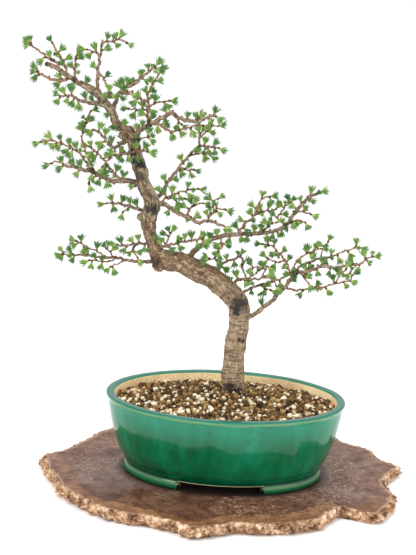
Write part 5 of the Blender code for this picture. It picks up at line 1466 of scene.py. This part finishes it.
def twigFinish():
    # tint tells the old limb, the young twig and the scaly spur apart, and along is darkness.
    twig = Finish("larch_twig")
    kind = twig.attribute("tint")
    dark = twig.attribute("along")
    grain = twig.attribute("grain", "Vector")
    fibres = twig.noise(1.0, 4, 0.62, place=twig.stretched((700, 700, 120), grain))
    mottle = twig.noise(420, 4, 0.62)
    patches = twig.noise(90, 3, 0.55)
    form = fibres * 0.5 + mottle * 0.5
    skin = twig.ramp(form, [(0.36, (0.06, 0.037, 0.026)), (0.45, (0.16, 0.105, 0.07)),
                            (0.54, (0.29, 0.208, 0.138)), (0.66, (0.48, 0.38, 0.26))])
    young = twig.mix(kind.between(0.45, 0.6) * 0.5, skin, (0.33, 0.165, 0.085))
    worn = twig.mix(patches.between(0.5, 0.62) * 0.35, young, (0.12, 0.075, 0.055))
    knotted = twig.mix(dark.between(0.15, 0.65) * kind.between(0.75, 0.65) * 0.9, worn, (0.04, 0.025, 0.02))
    scale = twig.ramp(mottle, [(0.4, (0.04, 0.021, 0.015)), (0.62, (0.19, 0.098, 0.056))])
    spur = twig.mix(kind.between(0.8, 0.88), knotted, scale)
    return twig.shade(Base_Color=spur, IOR=1.3, Roughness=0.7 + mottle * 0.2,
                      Normal=twig.bump(form, 0.5, 0.8))


def needleFinish():
    # Each tuft has its own green, pale at the needles' feet and bluer at their tips.
    green = Finish("larch_needle")
    tint = green.attribute("tint")
    along = green.attribute("along")
    shade = green.ramp(tint, [(0.0, (0.065, 0.18, 0.055)), (0.3, (0.115, 0.265, 0.06)),
                              (0.6, (0.205, 0.375, 0.07)), (1.0, (0.34, 0.5, 0.1))])
    tipped = green.mix(along.between(0.45, 1.0) * 0.45, shade, (0.06, 0.195, 0.085))
    rooted = green.mix((1 - along.between(0.05, 0.6)) * 0.75, tipped, (0.52, 0.6, 0.17))
    return green.shade(Base_Color=rooted, IOR=1.33, Roughness=0.45 + tint * 0.12,
                       Normal=green.bump(green.noise(600), 0.1, 0.3))


# Stage

stage = {
    "floor": (0.965, 0.965, 0.965),
    "floorGrain": (0.985, 0.985, 0.985),
    "floorDrop": 0.0004,
    "aim": (0, 0, 0.2),
    "world": 1.03,
    # Place, power and size of each lamp
    "lamps": {
        "key": ((-0.75, -0.85, 1.15), 9.0, 0.6),
        "fill": ((0.95, -0.65, 0.75), 3.5, 0.9),
        "top": ((0.05, 0.25, 1.35), 5.0, 0.9),
    },
    "reach": 20.0,
}


def makeStage():
    # A white world, three soft lamps that look at the aim, and a wide pale floor.
    scene = bpy.context.scene
    scene.view_settings.view_transform = "Standard"
    world = bpy.data.worlds.new("studio")
    scene.world = world
    world.use_nodes = True
    background = world.node_tree.nodes["Background"]
    background.inputs["Color"].default_value = (1, 1, 1, 1)
    background.inputs["Strength"].default_value = stage["world"]
    for name, (place, power, size) in stage["lamps"].items():
        data = bpy.data.lights.new(name, "AREA")
        data.energy, data.size = power, size
        lamp = bpy.data.objects.new(name, data)
        scene.collection.objects.link(lamp)
        ahead = unit(np.array(stage["aim"]) - np.array(place))
        side = unit(np.cross(ahead, [0, 0, 1.0]))
        axes = np.eye(4)
        axes[:3, 0], axes[:3, 1], axes[:3, 2], axes[:3, 3] = side, np.cross(side, ahead), -ahead, place
        lamp.matrix_world = Matrix(axes.tolist())
    reach = stage["reach"]
    mesh = bpy.data.meshes.new("floor")
    corners = [(x * reach, y * reach, -stage["floorDrop"]) for x, y in ((-1, -1), (1, -1), (1, 1), (-1, 1))]
    mesh.from_pydata(corners, [], [(0, 1, 2, 3)])
    floor = bpy.data.objects.new("floor", mesh)
    scene.collection.objects.link(floor)
    paper = Finish("floor_paper")
    colour = paper.mix(paper.noise(30, 3), stage["floor"], stage["floorGrain"])
    mesh.materials.append(paper.shade(Base_Color=colour, Roughness=0.9))


makeCamera()
print("camera set")
makeStage()
print("floor and lights set")
makeSlab()
print("slab made")
makePot()
screenMaterial = screenFinish()
for node in ("drain_screen_left", "drain_screen_right"):
    holder = frame["nodes"][node]
    holder.data.materials.clear()
    holder.data.materials.append(screenMaterial)
print("pot made")
makeSoil()
print("soil made")
twigMaterial = twigFinish()
needleMaterial = needleFinish()
makeWood()
print("wood made")
for name in sprays:
    makeSpray(name)
print("sprays made")
